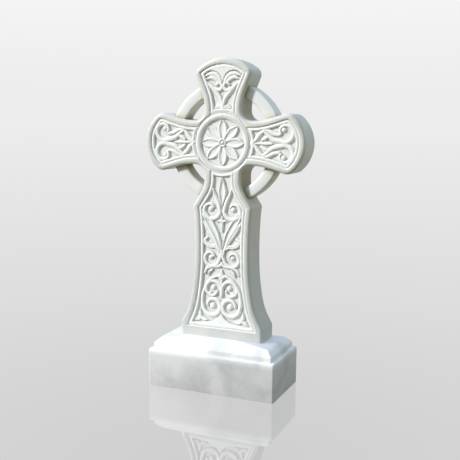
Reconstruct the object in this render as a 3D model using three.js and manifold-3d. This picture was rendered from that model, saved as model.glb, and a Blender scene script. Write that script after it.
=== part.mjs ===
// A white marble Celtic cross gravestone: a ringed cross, carved in one piece with rolls, scrolls
// and leaves, that stands on a moulded block base. Millimetres, +Z up, the carved face towards -Y,
// the origin under the middle of the base.

import * as THREE from 'three';
import { mergeVertices } from 'three/addons/utils/BufferGeometryUtils.js';
import Module from 'manifold-3d';

const wasm = await Module();
wasm.setup();

// Base block
const BASE_WIDTH = 480;
const BASE_DEPTH = 254;
const BASE_ARRIS = 3.5; // softened edges of the block and its step
const BLOCK_HEIGHT = 136; // underside to the ledge
const LEDGE = 14; // flat ledge round the step
const STEP_RISE = 18; // upright step above the ledge
const WEATHERING_RUN = 22; // sloped top that sheds the rain
const WEATHERING_RISE = 20;

// Cross
const CROSS_THICKNESS = 110;
const CROSS_SETBACK = 27; // middle of the cross behind the middle of the base
const ARM_SPAN = 608; // tip to tip of the side arms
const HEAD_HEIGHT = 701; // centre of the head above the foot
const CROWN_RISE = 293; // crown above the centre of the head
const FACE_ROUND = 12; // rounding of the front edge
const BACK_ROUND = 8; // rounding of the rear edge
const BORDER = 23; // roll between the outline and the panel line
const CORNER_BORDER = 20; // the same roll where it turns an arm's corner
const NECK_BORDER = 26; // the same roll beside the lower neck
const FOOT_BORDER = 30; // the same roll at the foot of the shaft
const FOOT_BORDER_EASE = 8; // how late it widens on its way down
const SHOULDER_MITRE = 6; // panel's shoulder below the outline's
const INNER_CORNER = 36; // radius in the angles between the arms

// Arms: half-widths of the panel at the neck and at the corners, and the bow of the end
const SIDE_NECK = 54;
const SIDE_CORNER = 84;
const SIDE_BOW = 41;
const SIDE_ROUND = 16; // rounding of its panel's corners
const TOP_NECK = 47;
const TOP_CORNER = 86;
const TOP_BOW = 31;
const TOP_ROUND = 6; // extra rounding of its outline's corners, whose panel is sharp
const FLARE_REACH = [0.38, 0.64]; // handles of the flare's curve, as shares of its length
const FLARE_RISE = 0.52; // how far the second handle has widened, as a share of the flare

// Shaft: half-widths of the outline
const LOWER_NECK = 70;
const NECK_LENGTH = 130; // centre of the head to where the shoulders start
const SHOULDER = 114;
const SHOULDER_DROP = 224; // centre of the head down to the shoulders
const SHAFT_WAIST = 106;
const FOOT_SPREAD = 160;
const FOOT_RISE = 48; // upright part of the foot
const FOOT_BAND = 37; // plain band below the panel

// Ring
const RING_OUTER = 215;
const RING_INNER = 172;
const RING_THICKNESS = 62;
const RING_CHAMFER = 7;

// Sunk panels, measured inwards from the panel line and down from the face
const ROLL_FALL = 8; // width of the inner side of the roll
const GROOVE_DEPTH = 5.5;
const GROOVE_WIDTH = 2.5;
const FILLET_SLOPE = 2;
const FILLET_WIDTH = 6.5;
const FILLET_DEPTH = 2.5;
const FIELD_SLOPE = 2;
const FIELD_DEPTH = 11.5;
const ROOT_DEPTH = 2; // how far the carved pieces reach into the ground of the panel
const GROUND_DROP = 0.3; // raised ground below the top of the fillet
const TIP_RISE = 0.45; // relief of a band where it narrows to nothing, as a share of the whole
const FULL_RISE_WIDTH = 8; // half-width that would by itself lift a band to full relief

// Roundel and its flower
const ROUNDEL_RIM = 106; // panel line round the roundel
const ROUNDEL_ROLL = [102, 81]; // outer and inner radius of its roll
const ROLL_SINK = 0.4; // crest of the roundel's roll below the face
const ROUNDEL_DEPTH = 10;
const BURIED = 20; // how far the roundel's disc reaches into the stone
const PETALS = 8;
const PETAL_LENGTH = 78; // centre to tip
const PETAL_HALF_WIDTH = 17.5;
const PETAL_SPINE = [0.15, 0.35, 0.6, 0.83, 1]; // its points, as shares of its length
const PETAL_WIDTHS = [0.3, 0.72, 1, 0.66, 0.06]; // its half-widths there, as shares of the widest
const BOSS_RADIUS = 13;
const BOSS_RISE = 1; // boss's rim above the relief
const BUTTON_RADIUS = 6;
const BUTTON_MOAT = 2; // width and depth of the hollow between the rim and the button
const BUTTON_RISE = 2; // button above the relief
const BERRY_CROWN = 0.7; // radius of a berry's crown, as a share of its own
const BERRY_FALL = 2; // edge of the crown below its top

// Grids of the carving's drawings, which are stretched over the panels that they fill
const DRAWN_WAIST = 106;
const DRAWN_SHAFT_PANEL = 558;
const DRAWN_SIDE = { reach: 281, corner: 84 };
const DRAWN_TOP = { reach: 270, corner: 86 };

// Fineness of the facets
const MERGE_DISTANCE = 1e-4;
const SHORTEST_EDGE = 3;
const CLEAR_LEVEL = 2; // how far a cutter stands above the face
const CURL_STEP = 40; // degrees between the points of a curl
const EDGE_STEPS = 8;
const BACK_STEPS = 1;
const RIBBON_STEP = 21; // along a stem or a leaf
const RING_SIDES = 36;
const ROUNDEL_SIDES = 32;
const ROLL_STEPS = 4;
const BOSS_SIDES = 6;
const FLARE_STEPS = 5;
const END_STEPS = 4;
const CORNER_STEPS = 3;
const SHAFT_STEPS = 11;
const ROUND_STEPS = 2;

const PLATEAU_INSET = LEDGE + WEATHERING_RUN;
const BASE_HEIGHT = BLOCK_HEIGHT + STEP_RISE + WEATHERING_RISE;
const FRONT_Y = CROSS_SETBACK - CROSS_THICKNESS / 2;
const SIDE_REACH = ARM_SPAN / 2 - BORDER;
const TOP_REACH = CROWN_RISE - BORDER;
const PANEL_EDGE = GROOVE_WIDTH + FILLET_SLOPE + FILLET_WIDTH + FIELD_SLOPE;
const FILLET_MIDDLE = GROOVE_WIDTH + FILLET_SLOPE + FILLET_WIDTH / 2;
const SHAFT_PANEL = HEAD_HEIGHT - ROUNDEL_RIM - FOOT_BAND;
const ROOT_LEVEL = -FIELD_DEPTH - ROOT_DEPTH;
const RELIEF_LEVEL = -FILLET_DEPTH;

const marble = new THREE.MeshStandardMaterial({ color: 0xe3e4e1, roughness: 0.42, metalness: 0 });
const veinedMarble = new THREE.MeshStandardMaterial({
  color: 0xdcdedc, roughness: 0.4, metalness: 0,
});

const point = (x, y) => new THREE.Vector2(x, y);
const radians = THREE.MathUtils.degToRad;
const lerp = THREE.MathUtils.lerp;

// Solids. A drawing lies in the XY plane, with Z towards the viewer and 0 on the face of the cross.

// Closed skin over rings of equally many points; each ring turns counter-clockwise as seen from
// the next one.
function skin(rings, outlineOf = (ring) => ring.map((p) => point(p.x, p.y))) {
  const n = rings[0].length;
  const positions = rings.flat().flatMap((p) => [p.x, p.y, p.z]);
  const faces = [];
  for (let r = 0; r < rings.length - 1; r += 1) {
    for (let j = 0; j < n; j += 1) {
      const a = r * n + j;
      const b = r * n + ((j + 1) % n);
      faces.push(a, b, b + n, a, b + n, a + n);
    }
  }
  const last = (rings.length - 1) * n;
  for (const [a, b, c] of THREE.ShapeUtils.triangulateShape(outlineOf(rings[0]), [])) {
    faces.push(c, b, a);
  }
  for (const [a, b, c] of THREE.ShapeUtils.triangulateShape(outlineOf(rings.at(-1)), [])) {
    faces.push(last + a, last + b, last + c);
  }
  const geometry = new THREE.BufferGeometry();
  geometry.setAttribute('position', new THREE.Float32BufferAttribute(positions, 3));
  geometry.setIndex(faces);
  return geometry;
}

const ringAt = (loop, z) => loop.map((p) => new THREE.Vector3(p.x, p.y, z));

function toSolid(geometry) {
  const bare = geometry.clone();
  bare.deleteAttribute('normal');
  bare.deleteAttribute('uv');
  const merged = mergeVertices(bare, MERGE_DISTANCE);
  const faces = [];
  for (let i = 0; i < merged.index.count; i += 3) {
    const [a, b, c] = [0, 1, 2].map((k) => merged.index.getX(i + k));
    if (a !== b && b !== c && c !== a) faces.push(a, b, c);
  }
  return new wasm.Manifold(new wasm.Mesh({
    numProp: 3,
    vertProperties: new Float32Array(merged.attributes.position.array),
    triVerts: new Uint32Array(faces),
  }));
}

function toGeometry(solid) {
  const mesh = solid.getMesh();
  const geometry = new THREE.BufferGeometry();
  geometry.setAttribute('position', new THREE.BufferAttribute(mesh.vertProperties, 3));
  geometry.setIndex(new THREE.BufferAttribute(mesh.triVerts, 1));
  return geometry;
}

const joined = (geometries) => geometries.map(toSolid).reduce((all, solid) => all.add(solid));

// Turned solid with its axis across the drawing: a profile of [radius, level] from the axis, up.
function turned(profile, sides, centre) {
  const geometry = new THREE.LatheGeometry(profile.map(([r, h]) => point(r, h)), sides);
  geometry.rotateX(Math.PI / 2);
  geometry.translate(centre.x, centre.y, 0);
  return geometry;
}

// Outlines

// Moves each edge of a counter-clockwise loop inwards, keeping its corners mitred.
function inset(loop, distance) {
  return loop.map((p, i) => {
    const before = leftOf(loop.at(i - 1), p);
    const after = leftOf(p, loop[(i + 1) % loop.length]);
    const share = distance / (1 + before.dot(after));
    return p.clone().addScaledVector(before.add(after), share);
  });
}

function leftOf(from, to) {
  const along = to.clone().sub(from).normalize();
  return point(-along.y, along.x);
}

function arc(centre, radius, from, to, steps) {
  return Array.from({ length: steps + 1 }, (_, i) => {
    const angle = lerp(from, to, i / steps);
    return point(centre.x + radius * Math.cos(angle), centre.y + radius * Math.sin(angle));
  });
}

// Right half of a flare, from the neck out to the corner; x is across the arm and y along it.
function flare(neck, corner, from, to) {
  const length = to - from;
  return new THREE.CubicBezierCurve(
    point(neck, from),
    point(neck, from + FLARE_REACH[0] * length),
    point(lerp(neck, corner, FLARE_RISE), from + FLARE_REACH[1] * length),
    point(corner, to),
  );
}

// A curve's points moved sideways by a width that changes along it; a positive one is to the left.
function shifted(curve, steps, widthAt) {
  return Array.from({ length: steps + 1 }, (_, i) => {
    const along = curve.getTangent(i / steps);
    const left = point(-along.y, along.x);
    return curve.getPoint(i / steps).addScaledVector(left, widthAt(i / steps));
  });
}

// A loop without the points that stand too close to the one before.
function spaced(loop) {
  return loop.filter((p, i) => i === 0 || p.distanceTo(loop[i - 1]) > SHORTEST_EDGE);
}

// Centre, radius and half-angle of the bowed end of an arm.
function bow(corner, reach, rise) {
  const radius = (corner ** 2 + rise ** 2) / (2 * rise);
  return { centre: point(0, reach - radius), radius, half: Math.asin(corner / radius) };
}

// Round at the corner between a flare and the bowed end, and how much of both it takes up.
function cornerRound(side, end, radius) {
  const along = side.getTangent(1);
  const first = Math.atan2(-along.x, along.y);
  const last = Math.PI / 2 - end.half;
  const corner = side.getPoint(1);
  const outwards = point(Math.cos(first) + Math.cos(last), Math.sin(first) + Math.sin(last));
  const back = radius / (1 + Math.cos(last - first));
  const cut = Math.max(radius * Math.tan((last - first) / 2), SHORTEST_EDGE);
  const clear = ({ x, y }) => corner.distanceTo(point(x, y)) > cut;
  return { centre: corner.clone().addScaledVector(outwards, -back), first, last, clear };
}

// Right half of an arm's panel line, from the corner of the roundel to the tip of the end.
function armPanelHalf({ neck, corner, reach, rise, from, round }) {
  const end = bow(corner, reach, rise);
  const start = point(neck, Math.sqrt(ROUNDEL_RIM ** 2 - neck ** 2));
  const curve = flare(neck, corner, from, reach - rise);
  const { centre, first, last, clear } = cornerRound(curve, end, round);
  const side = curve.getPoints(FLARE_STEPS).filter(clear);
  const turn = round > 0 ? arc(centre, round, first, last, CORNER_STEPS) : [centre];
  const tip = arc(end.centre, end.radius, last, Math.PI / 2, END_STEPS).filter(clear);
  return [start, ...side, ...turn, ...tip];
}

// Right half of an arm's outline: the panel line moved out by the roll, round its corner.
function armOutlineHalf({ neck, corner, reach, rise, from, round, softer }) {
  const curve = flare(neck, corner, from, reach - rise);
  const end = bow(corner, reach, rise);
  const { centre, first, last, clear } = cornerRound(curve, end, round + softer);
  const onSide = curve.getPoints(FLARE_STEPS);
  const side = shifted(curve, FLARE_STEPS, (share) => -lerp(BORDER, CORNER_BORDER, share));
  const turn = arc(centre, round + softer + CORNER_BORDER, first, last, CORNER_STEPS);
  const tip = arc(end.centre, end.radius, last, Math.PI / 2, END_STEPS);
  const crown = tip.map((p, i) => {
    const width = lerp(CORNER_BORDER, BORDER, i / END_STEPS);
    return p.clone().sub(end.centre).setLength(end.radius + width).add(end.centre);
  });
  return [
    ...side.filter((_, i) => clear(onSide[i])),
    ...turn,
    ...crown.filter((_, i) => clear(tip[i])),
  ];
}

const mirrored = (points) => points.map((p) => point(-p.x, p.y)).reverse();

// Each arm starts to widen where the round of its inner corners ends.
const TOP_ARM = {
  neck: TOP_NECK,
  corner: TOP_CORNER,
  reach: TOP_REACH,
  rise: TOP_BOW,
  round: 0,
  softer: TOP_ROUND,
  from: SIDE_NECK + BORDER + INNER_CORNER,
};
const SIDE_ARM = {
  neck: SIDE_NECK,
  corner: SIDE_CORNER,
  reach: SIDE_REACH,
  rise: SIDE_BOW,
  round: SIDE_ROUND,
  softer: 0,
  from: TOP_NECK + BORDER + INNER_CORNER,
};

// From an arm's own drawing, with y along the arm, to the drawing of the cross.
const onTop = (p) => point(p.x, HEAD_HEIGHT + p.y);
const onRight = (p) => point(p.y, HEAD_HEIGHT - p.x);
const onLeft = (p) => point(-p.y, HEAD_HEIGHT + p.x);

// Right side of the shaft from the shoulder down to the top of the foot.
function shaftSide() {
  const top = HEAD_HEIGHT - SHOULDER_DROP;
  const drop = top - FOOT_RISE;
  const swell = SHOULDER - SHAFT_WAIST;
  const spread = FOOT_SPREAD - SHAFT_WAIST;
  const profile = [[0, swell], [0.12, 0.38 * swell], [0.31, 0], [0.52, 0.03 * spread],
    [0.68, 0.15 * spread], [0.82, 0.35 * spread], [0.91, 0.61 * spread], [1, spread]];
  const points = profile.map(([down, out]) => point(SHAFT_WAIST + out, top - down * drop));
  return new THREE.SplineCurve(points);
}

// Right side of the lower neck from under the head down to the shoulder.
function neckSide(neck, shoulder, shoulderDrop) {
  const side = flare(neck, shoulder, NECK_LENGTH, shoulderDrop).getPoints(FLARE_STEPS);
  return side.map((p) => point(p.x, HEAD_HEIGHT - p.y));
}

// Round between the right arm and the upright, above the arm (side 1) or below it (side -1).
function innerCorner(uprightHalf, armHalf, side) {
  const across = uprightHalf + INNER_CORNER;
  const centre = point(across, HEAD_HEIGHT + side * (armHalf + INNER_CORNER));
  return arc(centre, INNER_CORNER, -side * (Math.PI / 2), -side * Math.PI, CORNER_STEPS);
}

// Whole outline of the cross, counter-clockwise from the right end of the foot.
function crossOutline() {
  const shaft = shaftSide().getPoints(SHAFT_STEPS).reverse();
  const neck = neckSide(LOWER_NECK, SHOULDER, SHOULDER_DROP).reverse();
  const side = armOutlineHalf(SIDE_ARM);
  const arm = [...side, ...mirrored(side).slice(1)].map(onRight);
  const top = armOutlineHalf(TOP_ARM).map(onTop);
  const below = innerCorner(LOWER_NECK, SIDE_NECK + BORDER, -1).reverse();
  const above = innerCorner(TOP_NECK + BORDER, SIDE_NECK + BORDER, 1);
  const right = spaced([
    point(FOOT_SPREAD, 0),
    ...shaft,
    ...neck.slice(1),
    ...below,
    ...arm,
    ...above,
    ...top,
  ]);
  return [...right, ...mirrored(right).slice(1)];
}

// Closed panel line of one arm, with the roundel's curve as its inner end.
function armPanel(arm) {
  const half = armPanelHalf(arm);
  const open = Math.asin(arm.neck / ROUNDEL_RIM);
  const rim = arc(point(0, 0), ROUNDEL_RIM, Math.PI / 2 + open, Math.PI / 2 - open, CORNER_STEPS);
  return [...half, ...mirrored(half).slice(1), ...rim.slice(1, -1)];
}

// Where a line of points that runs downwards crosses a height.
function acrossAt(line, height) {
  const i = line.findIndex((p) => p.y <= height);
  if (i < 1) return line.at(-1).x;
  const [a, b] = [line[i - 1], line[i]];
  return lerp(a.x, b.x, (a.y - height) / (a.y - b.y));
}

function shaftPanel() {
  const line = shifted(shaftSide(), SHAFT_STEPS, (share) => (
    -lerp(BORDER, FOOT_BORDER, share ** FOOT_BORDER_EASE)
  ));
  const neckHalf = LOWER_NECK - NECK_BORDER;
  const neck = neckSide(neckHalf, line[0].x, SHOULDER_DROP + SHOULDER_MITRE);
  const side = line.slice(1).filter((p) => p.y > FOOT_BAND + PANEL_EDGE + SHORTEST_EDGE);
  const corner = point(acrossAt(line, FOOT_BAND), FOOT_BAND);
  const open = Math.asin(neckHalf / ROUNDEL_RIM);
  const rim = arc(point(0, HEAD_HEIGHT), ROUNDEL_RIM, open - Math.PI / 2, -open - Math.PI / 2,
    CORNER_STEPS);
  const right = [corner, ...side.reverse(), ...neck.reverse(), rim[0]];
  return [...right, ...rim.slice(1, -1), ...mirrored(right)];
}

// Carving

// Cross-sections of the carved bands: across in half-widths, up as a share of the relief.
const ROLL = [[-1, 0], [1, 0], [0, 1]];
const LEAF = [[-1, 0], [1, 0], [0.72, 1], [0, 0.5], [-0.72, 1]];

// Band along a smooth line through points, with half-widths spread evenly along it.
function band(points, halfWidths, section) {
  const curve = new THREE.SplineCurve(points);
  const steps = Math.max(2, Math.round(curve.getLength() / RIBBON_STEP));
  const middle = curve.getSpacedPoints(steps);
  return skin(middle.map((p, i) => {
    const left = leftOf(middle[Math.max(i - 1, 0)], middle[Math.min(i + 1, steps)]);
    const place = (i / steps) * (halfWidths.length - 1);
    const k = Math.min(Math.floor(place), halfWidths.length - 2);
    const half = lerp(halfWidths[k], halfWidths[k + 1], place - k);
    const rise = Math.min(1, TIP_RISE + half / FULL_RISE_WIDTH);
    return section.map(([across, up]) => {
      const q = p.clone().addScaledVector(left, across * half);
      return new THREE.Vector3(q.x, q.y, lerp(ROOT_LEVEL, RELIEF_LEVEL, up * rise));
    });
  }), () => section.map(([across, up]) => point(across, up)));
}

// Points of a curl: it winds round a centre while its radius closes from start to end.
function curl({ centre: [x, y], start, end, from, sweep, ease = 1 }) {
  const steps = Math.ceil(Math.abs(sweep) / CURL_STEP);
  return Array.from({ length: steps + 1 }, (_, i) => {
    const angle = radians(from + (sweep * i) / steps);
    const radius = lerp(start, end, (i / steps) ** ease);
    return [x + radius * Math.cos(angle), y + radius * Math.sin(angle)];
  });
}

const scroll = (points, turn, widths) => ({
  section: ROLL, points: [...points, ...curl(turn)], widths,
});
const stem = (points, widths) => ({ section: ROLL, points, widths });
const leaf = (points, widths) => ({ section: LEAF, points, widths });
const berry = (x, y, radius) => ({ points: [[x, y]], radius });

// Right half of the shaft's carving, from the top: x from the centre line, y above the panel line
const SHAFT_CARVING = [
  // Upright bud under the head
  { ...leaf([[0, 541], [0, 520], [0, 499], [0, 475], [0, 451]], [1, 10, 18, 12, 2]), single: true },
  // Upper scroll
  scroll([[35, 502], [28, 479], [15, 452]],
    { centre: [41, 428], start: 34, end: 16, from: 190, sweep: 265, ease: 3 }, [3, 7, 7, 7, 6, 4]),
  berry(42, 430, 9),
  berry(25, 444, 5),
  // Broad leaves that spring from the middle scroll
  leaf([[62, 403], [45, 375], [26, 343], [11, 304], [3, 264]], [14, 15, 12, 7, 3]),
  leaf([[72, 381], [52, 354], [36, 332], [20, 306], [7, 280]], [1, 7, 8, 6, 3]),
  leaf([[58, 324], [66, 318], [60, 305], [44, 297], [26, 296], [10, 284]], [3, 6, 8, 7, 6, 3]),
  { ...leaf([[0, 407], [0, 392], [0, 372], [0, 350]], [1, 8, 5, 2]), single: true },
  stem([[0, 387], [10, 389], [19, 386]], [5, 4, 1]),
  // Middle scroll
  scroll([[3, 284], [4, 262]],
    { centre: [40, 255], start: 31, end: 14, from: 205, sweep: 265, ease: 2 }, [3, 6, 6, 6, 5, 4]),
  berry(43, 256, 8),
  berry(25, 276, 5),
  // Brace above the oval
  stem([[0, 236], [10, 226], [40, 222], [58, 214], [67, 197]], [5, 5, 5, 5, 3]),
  stem([[36, 212], [47, 204], [52, 190]], [3, 4, 1]),
  // Lily at the top of the oval
  { ...leaf([[0, 212], [0, 190], [0, 172], [0, 160]], [1, 9, 6, 3]), single: true },
  stem([[0, 180], [12, 190], [24, 189]], [6, 5, 1]),
  // Oval stem that ends in the lower scroll
  scroll([[16, 190], [42, 176], [62, 149], [73, 119], [75, 89]],
    { centre: [34, 80], start: 38, end: 20, from: -25, sweep: -330 }, [3, 5, 5, 6, 7, 7, 7, 7, 5]),
  berry(34, 80, 11),
  // Upper scroll of the oval
  scroll([[2, 116]],
    { centre: [32, 141], start: 30, end: 17, from: 184, sweep: -340, ease: 4 }, [3, 6, 6, 6, 5, 3]),
  berry(31, 147, 8),
  berry(43, 127, 6),
  // Three-lobed corner leaf
  leaf([[80, 33], [84, 46], [84, 60]], [5, 7, 1]),
  leaf([[78, 34], [90, 26], [102, 19]], [5, 6, 1]),
  leaf([[80, 34], [68, 26], [54, 25]], [5, 6, 1]),
];
const SHAFT_HILL = [[112, 9], [60, 17], [40, 21], [20, 31], [9, 43], [0, 57]];

// Half of a side arm's carving: x from the arm's centre line, y from the centre of the head
const SIDE_CARVING = [
  scroll([[38, 148], [24, 168], [11, 190]],
    { centre: [37, 228], start: 33, end: 18, from: 200, sweep: -275, ease: 3 },
    [3, 6, 7, 7, 6, 4]),
  berry(46, 225, 9),
  leaf([[28, 206], [36, 182], [43, 157]], [4, 6, 2]),
  leaf([[2, 119], [11, 136], [26, 149], [42, 160]], [4, 7, 7, 2]),
  leaf([[4, 152], [9, 166], [10, 182]], [3, 6, 1]),
];

// Right half of the top arm's carving, in the same way
const TOP_CARVING = [
  leaf([[4, 190], [9, 207], [23, 220], [42, 224], [65, 229]], [4, 9, 13, 12, 2]),
  scroll([[48, 200], [33, 189]],
    { centre: [15, 198], start: 15, end: 9, from: -80, sweep: -230 }, [4, 6, 5, 3]),
  stem([[60, 210], [42, 190], [25, 173], [10, 155], [3, 135], [2, 120]], [2, 5, 7, 7, 6, 4]),
  leaf([[3, 122], [18, 124], [34, 116]], [4, 7, 2]),
];
const ARCHES_SHARE = 0.92; // how far the raised ground reaches towards the top arm's corners
const TOP_ARCHES = [[74, 232], [58, 244], [40, 247], [20, 241], [8, 228], [3, 214], [0, 206]];

// Solids of one carved list, placed by a function from its drawing to the cross.
function carve(carving, place) {
  return carving.map(({ points, widths, section, radius }) => {
    const placed = points.map(([x, y]) => place(point(x, y)));
    if (!radius) return band(placed, widths, section);
    const dome = [[0, ROOT_LEVEL], [radius, ROOT_LEVEL],
      [BERRY_CROWN * radius, RELIEF_LEVEL - BERRY_FALL], [0, RELIEF_LEVEL]];
    return turned(dome, BOSS_SIDES, placed[0]);
  });
}

// The same list on both sides of its centre line.
function carvePair(carving, place) {
  const pairs = carving.filter((piece) => !piece.single);
  return [
    ...carve(carving, place),
    ...carve(pairs, (p) => place(point(-p.x, p.y))),
  ];
}

// Raised ground between the fillet and a free edge, which is drawn from the right to the middle.
function raisedGround(edge, place, alongFillet) {
  const right = new THREE.SplineCurve(edge.map(([x, y]) => point(x, y))).getPoints(EDGE_STEPS);
  const free = [...right, ...mirrored(right).slice(1)].map(place);
  const loop = [...alongFillet, ...free].map((p) => [p.x, p.y]);
  const areas = new wasm.CrossSection([loop], 'NonZero').toPolygons();
  const shapes = areas.map((area) => new THREE.Shape(area.map(([x, y]) => point(x, y))));
  const geometry = new THREE.ExtrudeGeometry(shapes, {
    depth: RELIEF_LEVEL - GROUND_DROP - ROOT_LEVEL, bevelEnabled: false,
  });
  return geometry.translate(0, 0, ROOT_LEVEL);
}

// Pieces of the cross

function crossBody() {
  const outline = crossOutline();
  const rounded = (distance, level) => ringAt(inset(outline, distance).map((p, i) => (
    outline[i].y === 0 ? point(p.x, 0) : p
  )), level);
  const rings = [];
  for (let i = BACK_STEPS; i >= 0; i -= 1) {
    const angle = (i / BACK_STEPS) * (Math.PI / 2);
    rings.push(rounded(BACK_ROUND * (1 - Math.cos(angle)),
      -CROSS_THICKNESS + BACK_ROUND * (1 - Math.sin(angle))));
  }
  for (let i = 0; i <= ROUND_STEPS; i += 1) {
    const angle = (i / ROUND_STEPS) * (Math.PI / 2);
    rings.push(rounded(FACE_ROUND * (1 - Math.cos(angle)), -FACE_ROUND * (1 - Math.sin(angle))));
  }
  return skin(rings);
}

function ring() {
  const half = RING_THICKNESS / 2;
  const flat = half - RING_CHAMFER;
  const middle = -CROSS_THICKNESS / 2;
  const profile = [[RING_INNER, -flat], [RING_INNER + RING_CHAMFER, -half],
    [RING_OUTER - RING_CHAMFER, -half], [RING_OUTER, -flat], [RING_OUTER, flat],
    [RING_OUTER - RING_CHAMFER, half], [RING_INNER + RING_CHAMFER, half], [RING_INNER, flat],
    [RING_INNER, -flat]];
  const placed = profile.map(([r, h]) => [r, middle + h]);
  return turned(placed, RING_SIDES, point(0, HEAD_HEIGHT));
}

// What is cut away inside a panel line: the roll's inner side, the groove, and the sunk field
// inside a raised fillet.
function panelCutter(panel) {
  const fillet = GROOVE_WIDTH + FILLET_SLOPE;
  const above = ROLL_FALL * (1 + CLEAR_LEVEL / GROOVE_DEPTH);
  return skin([
    ringAt(inset(panel, PANEL_EDGE), -FIELD_DEPTH),
    ringAt(inset(panel, fillet + FILLET_WIDTH), -FILLET_DEPTH),
    ringAt(inset(panel, fillet), -FILLET_DEPTH),
    ringAt(panel, -GROOVE_DEPTH),
    ringAt(inset(panel, -above), CLEAR_LEVEL),
  ]);
}

const HEAD = point(0, HEAD_HEIGHT);

function roundelCutter() {
  const [outer] = ROUNDEL_ROLL;
  const profile = [[0, ROOT_LEVEL], [outer, ROOT_LEVEL], [outer, -GROOVE_DEPTH],
    [ROUNDEL_RIM + GROOVE_WIDTH, CLEAR_LEVEL], [0, CLEAR_LEVEL]];
  return turned(profile, ROUNDEL_SIDES, HEAD);
}

// Sunk disc inside a raised roll.
function roundel() {
  const [outer, inner] = ROUNDEL_ROLL;
  const crest = (outer + inner) / 2;
  const half = (outer - inner) / 2;
  const roll = Array.from({ length: ROLL_STEPS + 1 }, (_, i) => {
    const angle = (i / ROLL_STEPS) * Math.PI;
    return [
      crest + half * Math.cos(angle),
      -GROOVE_DEPTH + (GROOVE_DEPTH - ROLL_SINK) * Math.sin(angle),
    ];
  });
  const profile = [[0, -BURIED], [outer, -BURIED], ...roll,
    [inner - FIELD_SLOPE, -ROUNDEL_DEPTH], [0, -ROUNDEL_DEPTH]];
  return turned(profile, ROUNDEL_SIDES, HEAD);
}

function flower() {
  const spine = PETAL_SPINE.map((share) => [0, share * PETAL_LENGTH]);
  const widths = PETAL_WIDTHS.map((share) => share * PETAL_HALF_WIDTH);
  const petals = Array.from({ length: PETALS }, (_, i) => {
    const turn = (p) => p.rotateAround(point(0, 0), (i / PETALS) * 2 * Math.PI).add(HEAD);
    return carve([leaf(spine, widths)], turn);
  });
  const rimTop = RELIEF_LEVEL + BOSS_RISE;
  const buttonTop = RELIEF_LEVEL + BUTTON_RISE;
  const boss = [[0, ROOT_LEVEL], [BOSS_RADIUS, ROOT_LEVEL], [BOSS_RADIUS - BOSS_RISE, rimTop],
    [BUTTON_RADIUS + BUTTON_MOAT, rimTop], [BUTTON_RADIUS, RELIEF_LEVEL - BUTTON_MOAT],
    [BUTTON_RADIUS - BUTTON_RISE, buttonTop], [0, buttonTop]];
  return [...petals.flat(), turned(boss, 2 * BOSS_SIDES, HEAD)];
}

function shaftCarving() {
  const across = SHAFT_WAIST / DRAWN_WAIST;
  const up = SHAFT_PANEL / DRAWN_SHAFT_PANEL;
  const place = (p) => point(p.x * across, FOOT_BAND + p.y * up);
  const base = [point(0, FOOT_BAND + FILLET_MIDDLE)];
  return [...carvePair(SHAFT_CARVING, place), raisedGround(SHAFT_HILL, place, base)];
}

function armCarving(carving, drawn, arm, onCross) {
  const place = (p) => onCross(point(
    p.x * (arm.corner / drawn.corner),
    p.y * (arm.reach / drawn.reach),
  ));
  return [place, carvePair(carving, place)];
}

function celticCross() {
  const cutters = [
    panelCutter(armPanel(TOP_ARM).map(onTop)),
    panelCutter(armPanel(SIDE_ARM).map(onRight)),
    panelCutter(armPanel(SIDE_ARM).map(onLeft)),
    panelCutter(shaftPanel()),
    roundelCutter(),
  ];
  const [, right] = armCarving(SIDE_CARVING, DRAWN_SIDE, SIDE_ARM, onRight);
  const [, left] = armCarving(SIDE_CARVING, DRAWN_SIDE, SIDE_ARM, onLeft);
  const [topPlace, top] = armCarving(TOP_CARVING, DRAWN_TOP, TOP_ARM, onTop);
  const end = bow(TOP_CORNER, TOP_REACH, TOP_BOW);
  const open = end.half * ARCHES_SHARE;
  const fillet = arc(end.centre, end.radius - FILLET_MIDDLE, Math.PI / 2 + open,
    Math.PI / 2 - open, END_STEPS).map(onTop);
  const arches = raisedGround(TOP_ARCHES, topPlace, fillet);
  const carved = [roundel(), ...flower(), ...shaftCarving(), ...right, ...left, ...top, arches];
  const cross = joined([crossBody(), ring()]).subtract(joined(cutters)).add(joined(carved));
  const mesh = new THREE.Mesh(toGeometry(cross), marble);
  mesh.name = 'celtic_cross';
  // From the drawing to upright: its Y becomes height and its Z faces -Y.
  mesh.geometry.applyMatrix4(new THREE.Matrix4().makeBasis(
    new THREE.Vector3(1, 0, 0),
    new THREE.Vector3(0, 0, 1),
    new THREE.Vector3(0, -1, 0),
  ));
  mesh.position.set(0, FRONT_Y, BASE_HEIGHT);
  return mesh;
}

// Base block

function blockOutline(insetBy) {
  const x = BASE_WIDTH / 2 - insetBy;
  const y = BASE_DEPTH / 2 - insetBy;
  const corners = [[x, y, 0], [-x, y, 1], [-x, -y, 2], [x, -y, 3]];
  return corners.flatMap(([cx, cy, quarter]) => {
    const centre = point(cx - Math.sign(cx) * BASE_ARRIS, cy - Math.sign(cy) * BASE_ARRIS);
    const from = quarter * (Math.PI / 2);
    return arc(centre, BASE_ARRIS, from, from + Math.PI / 2, ROUND_STEPS);
  });
}

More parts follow.
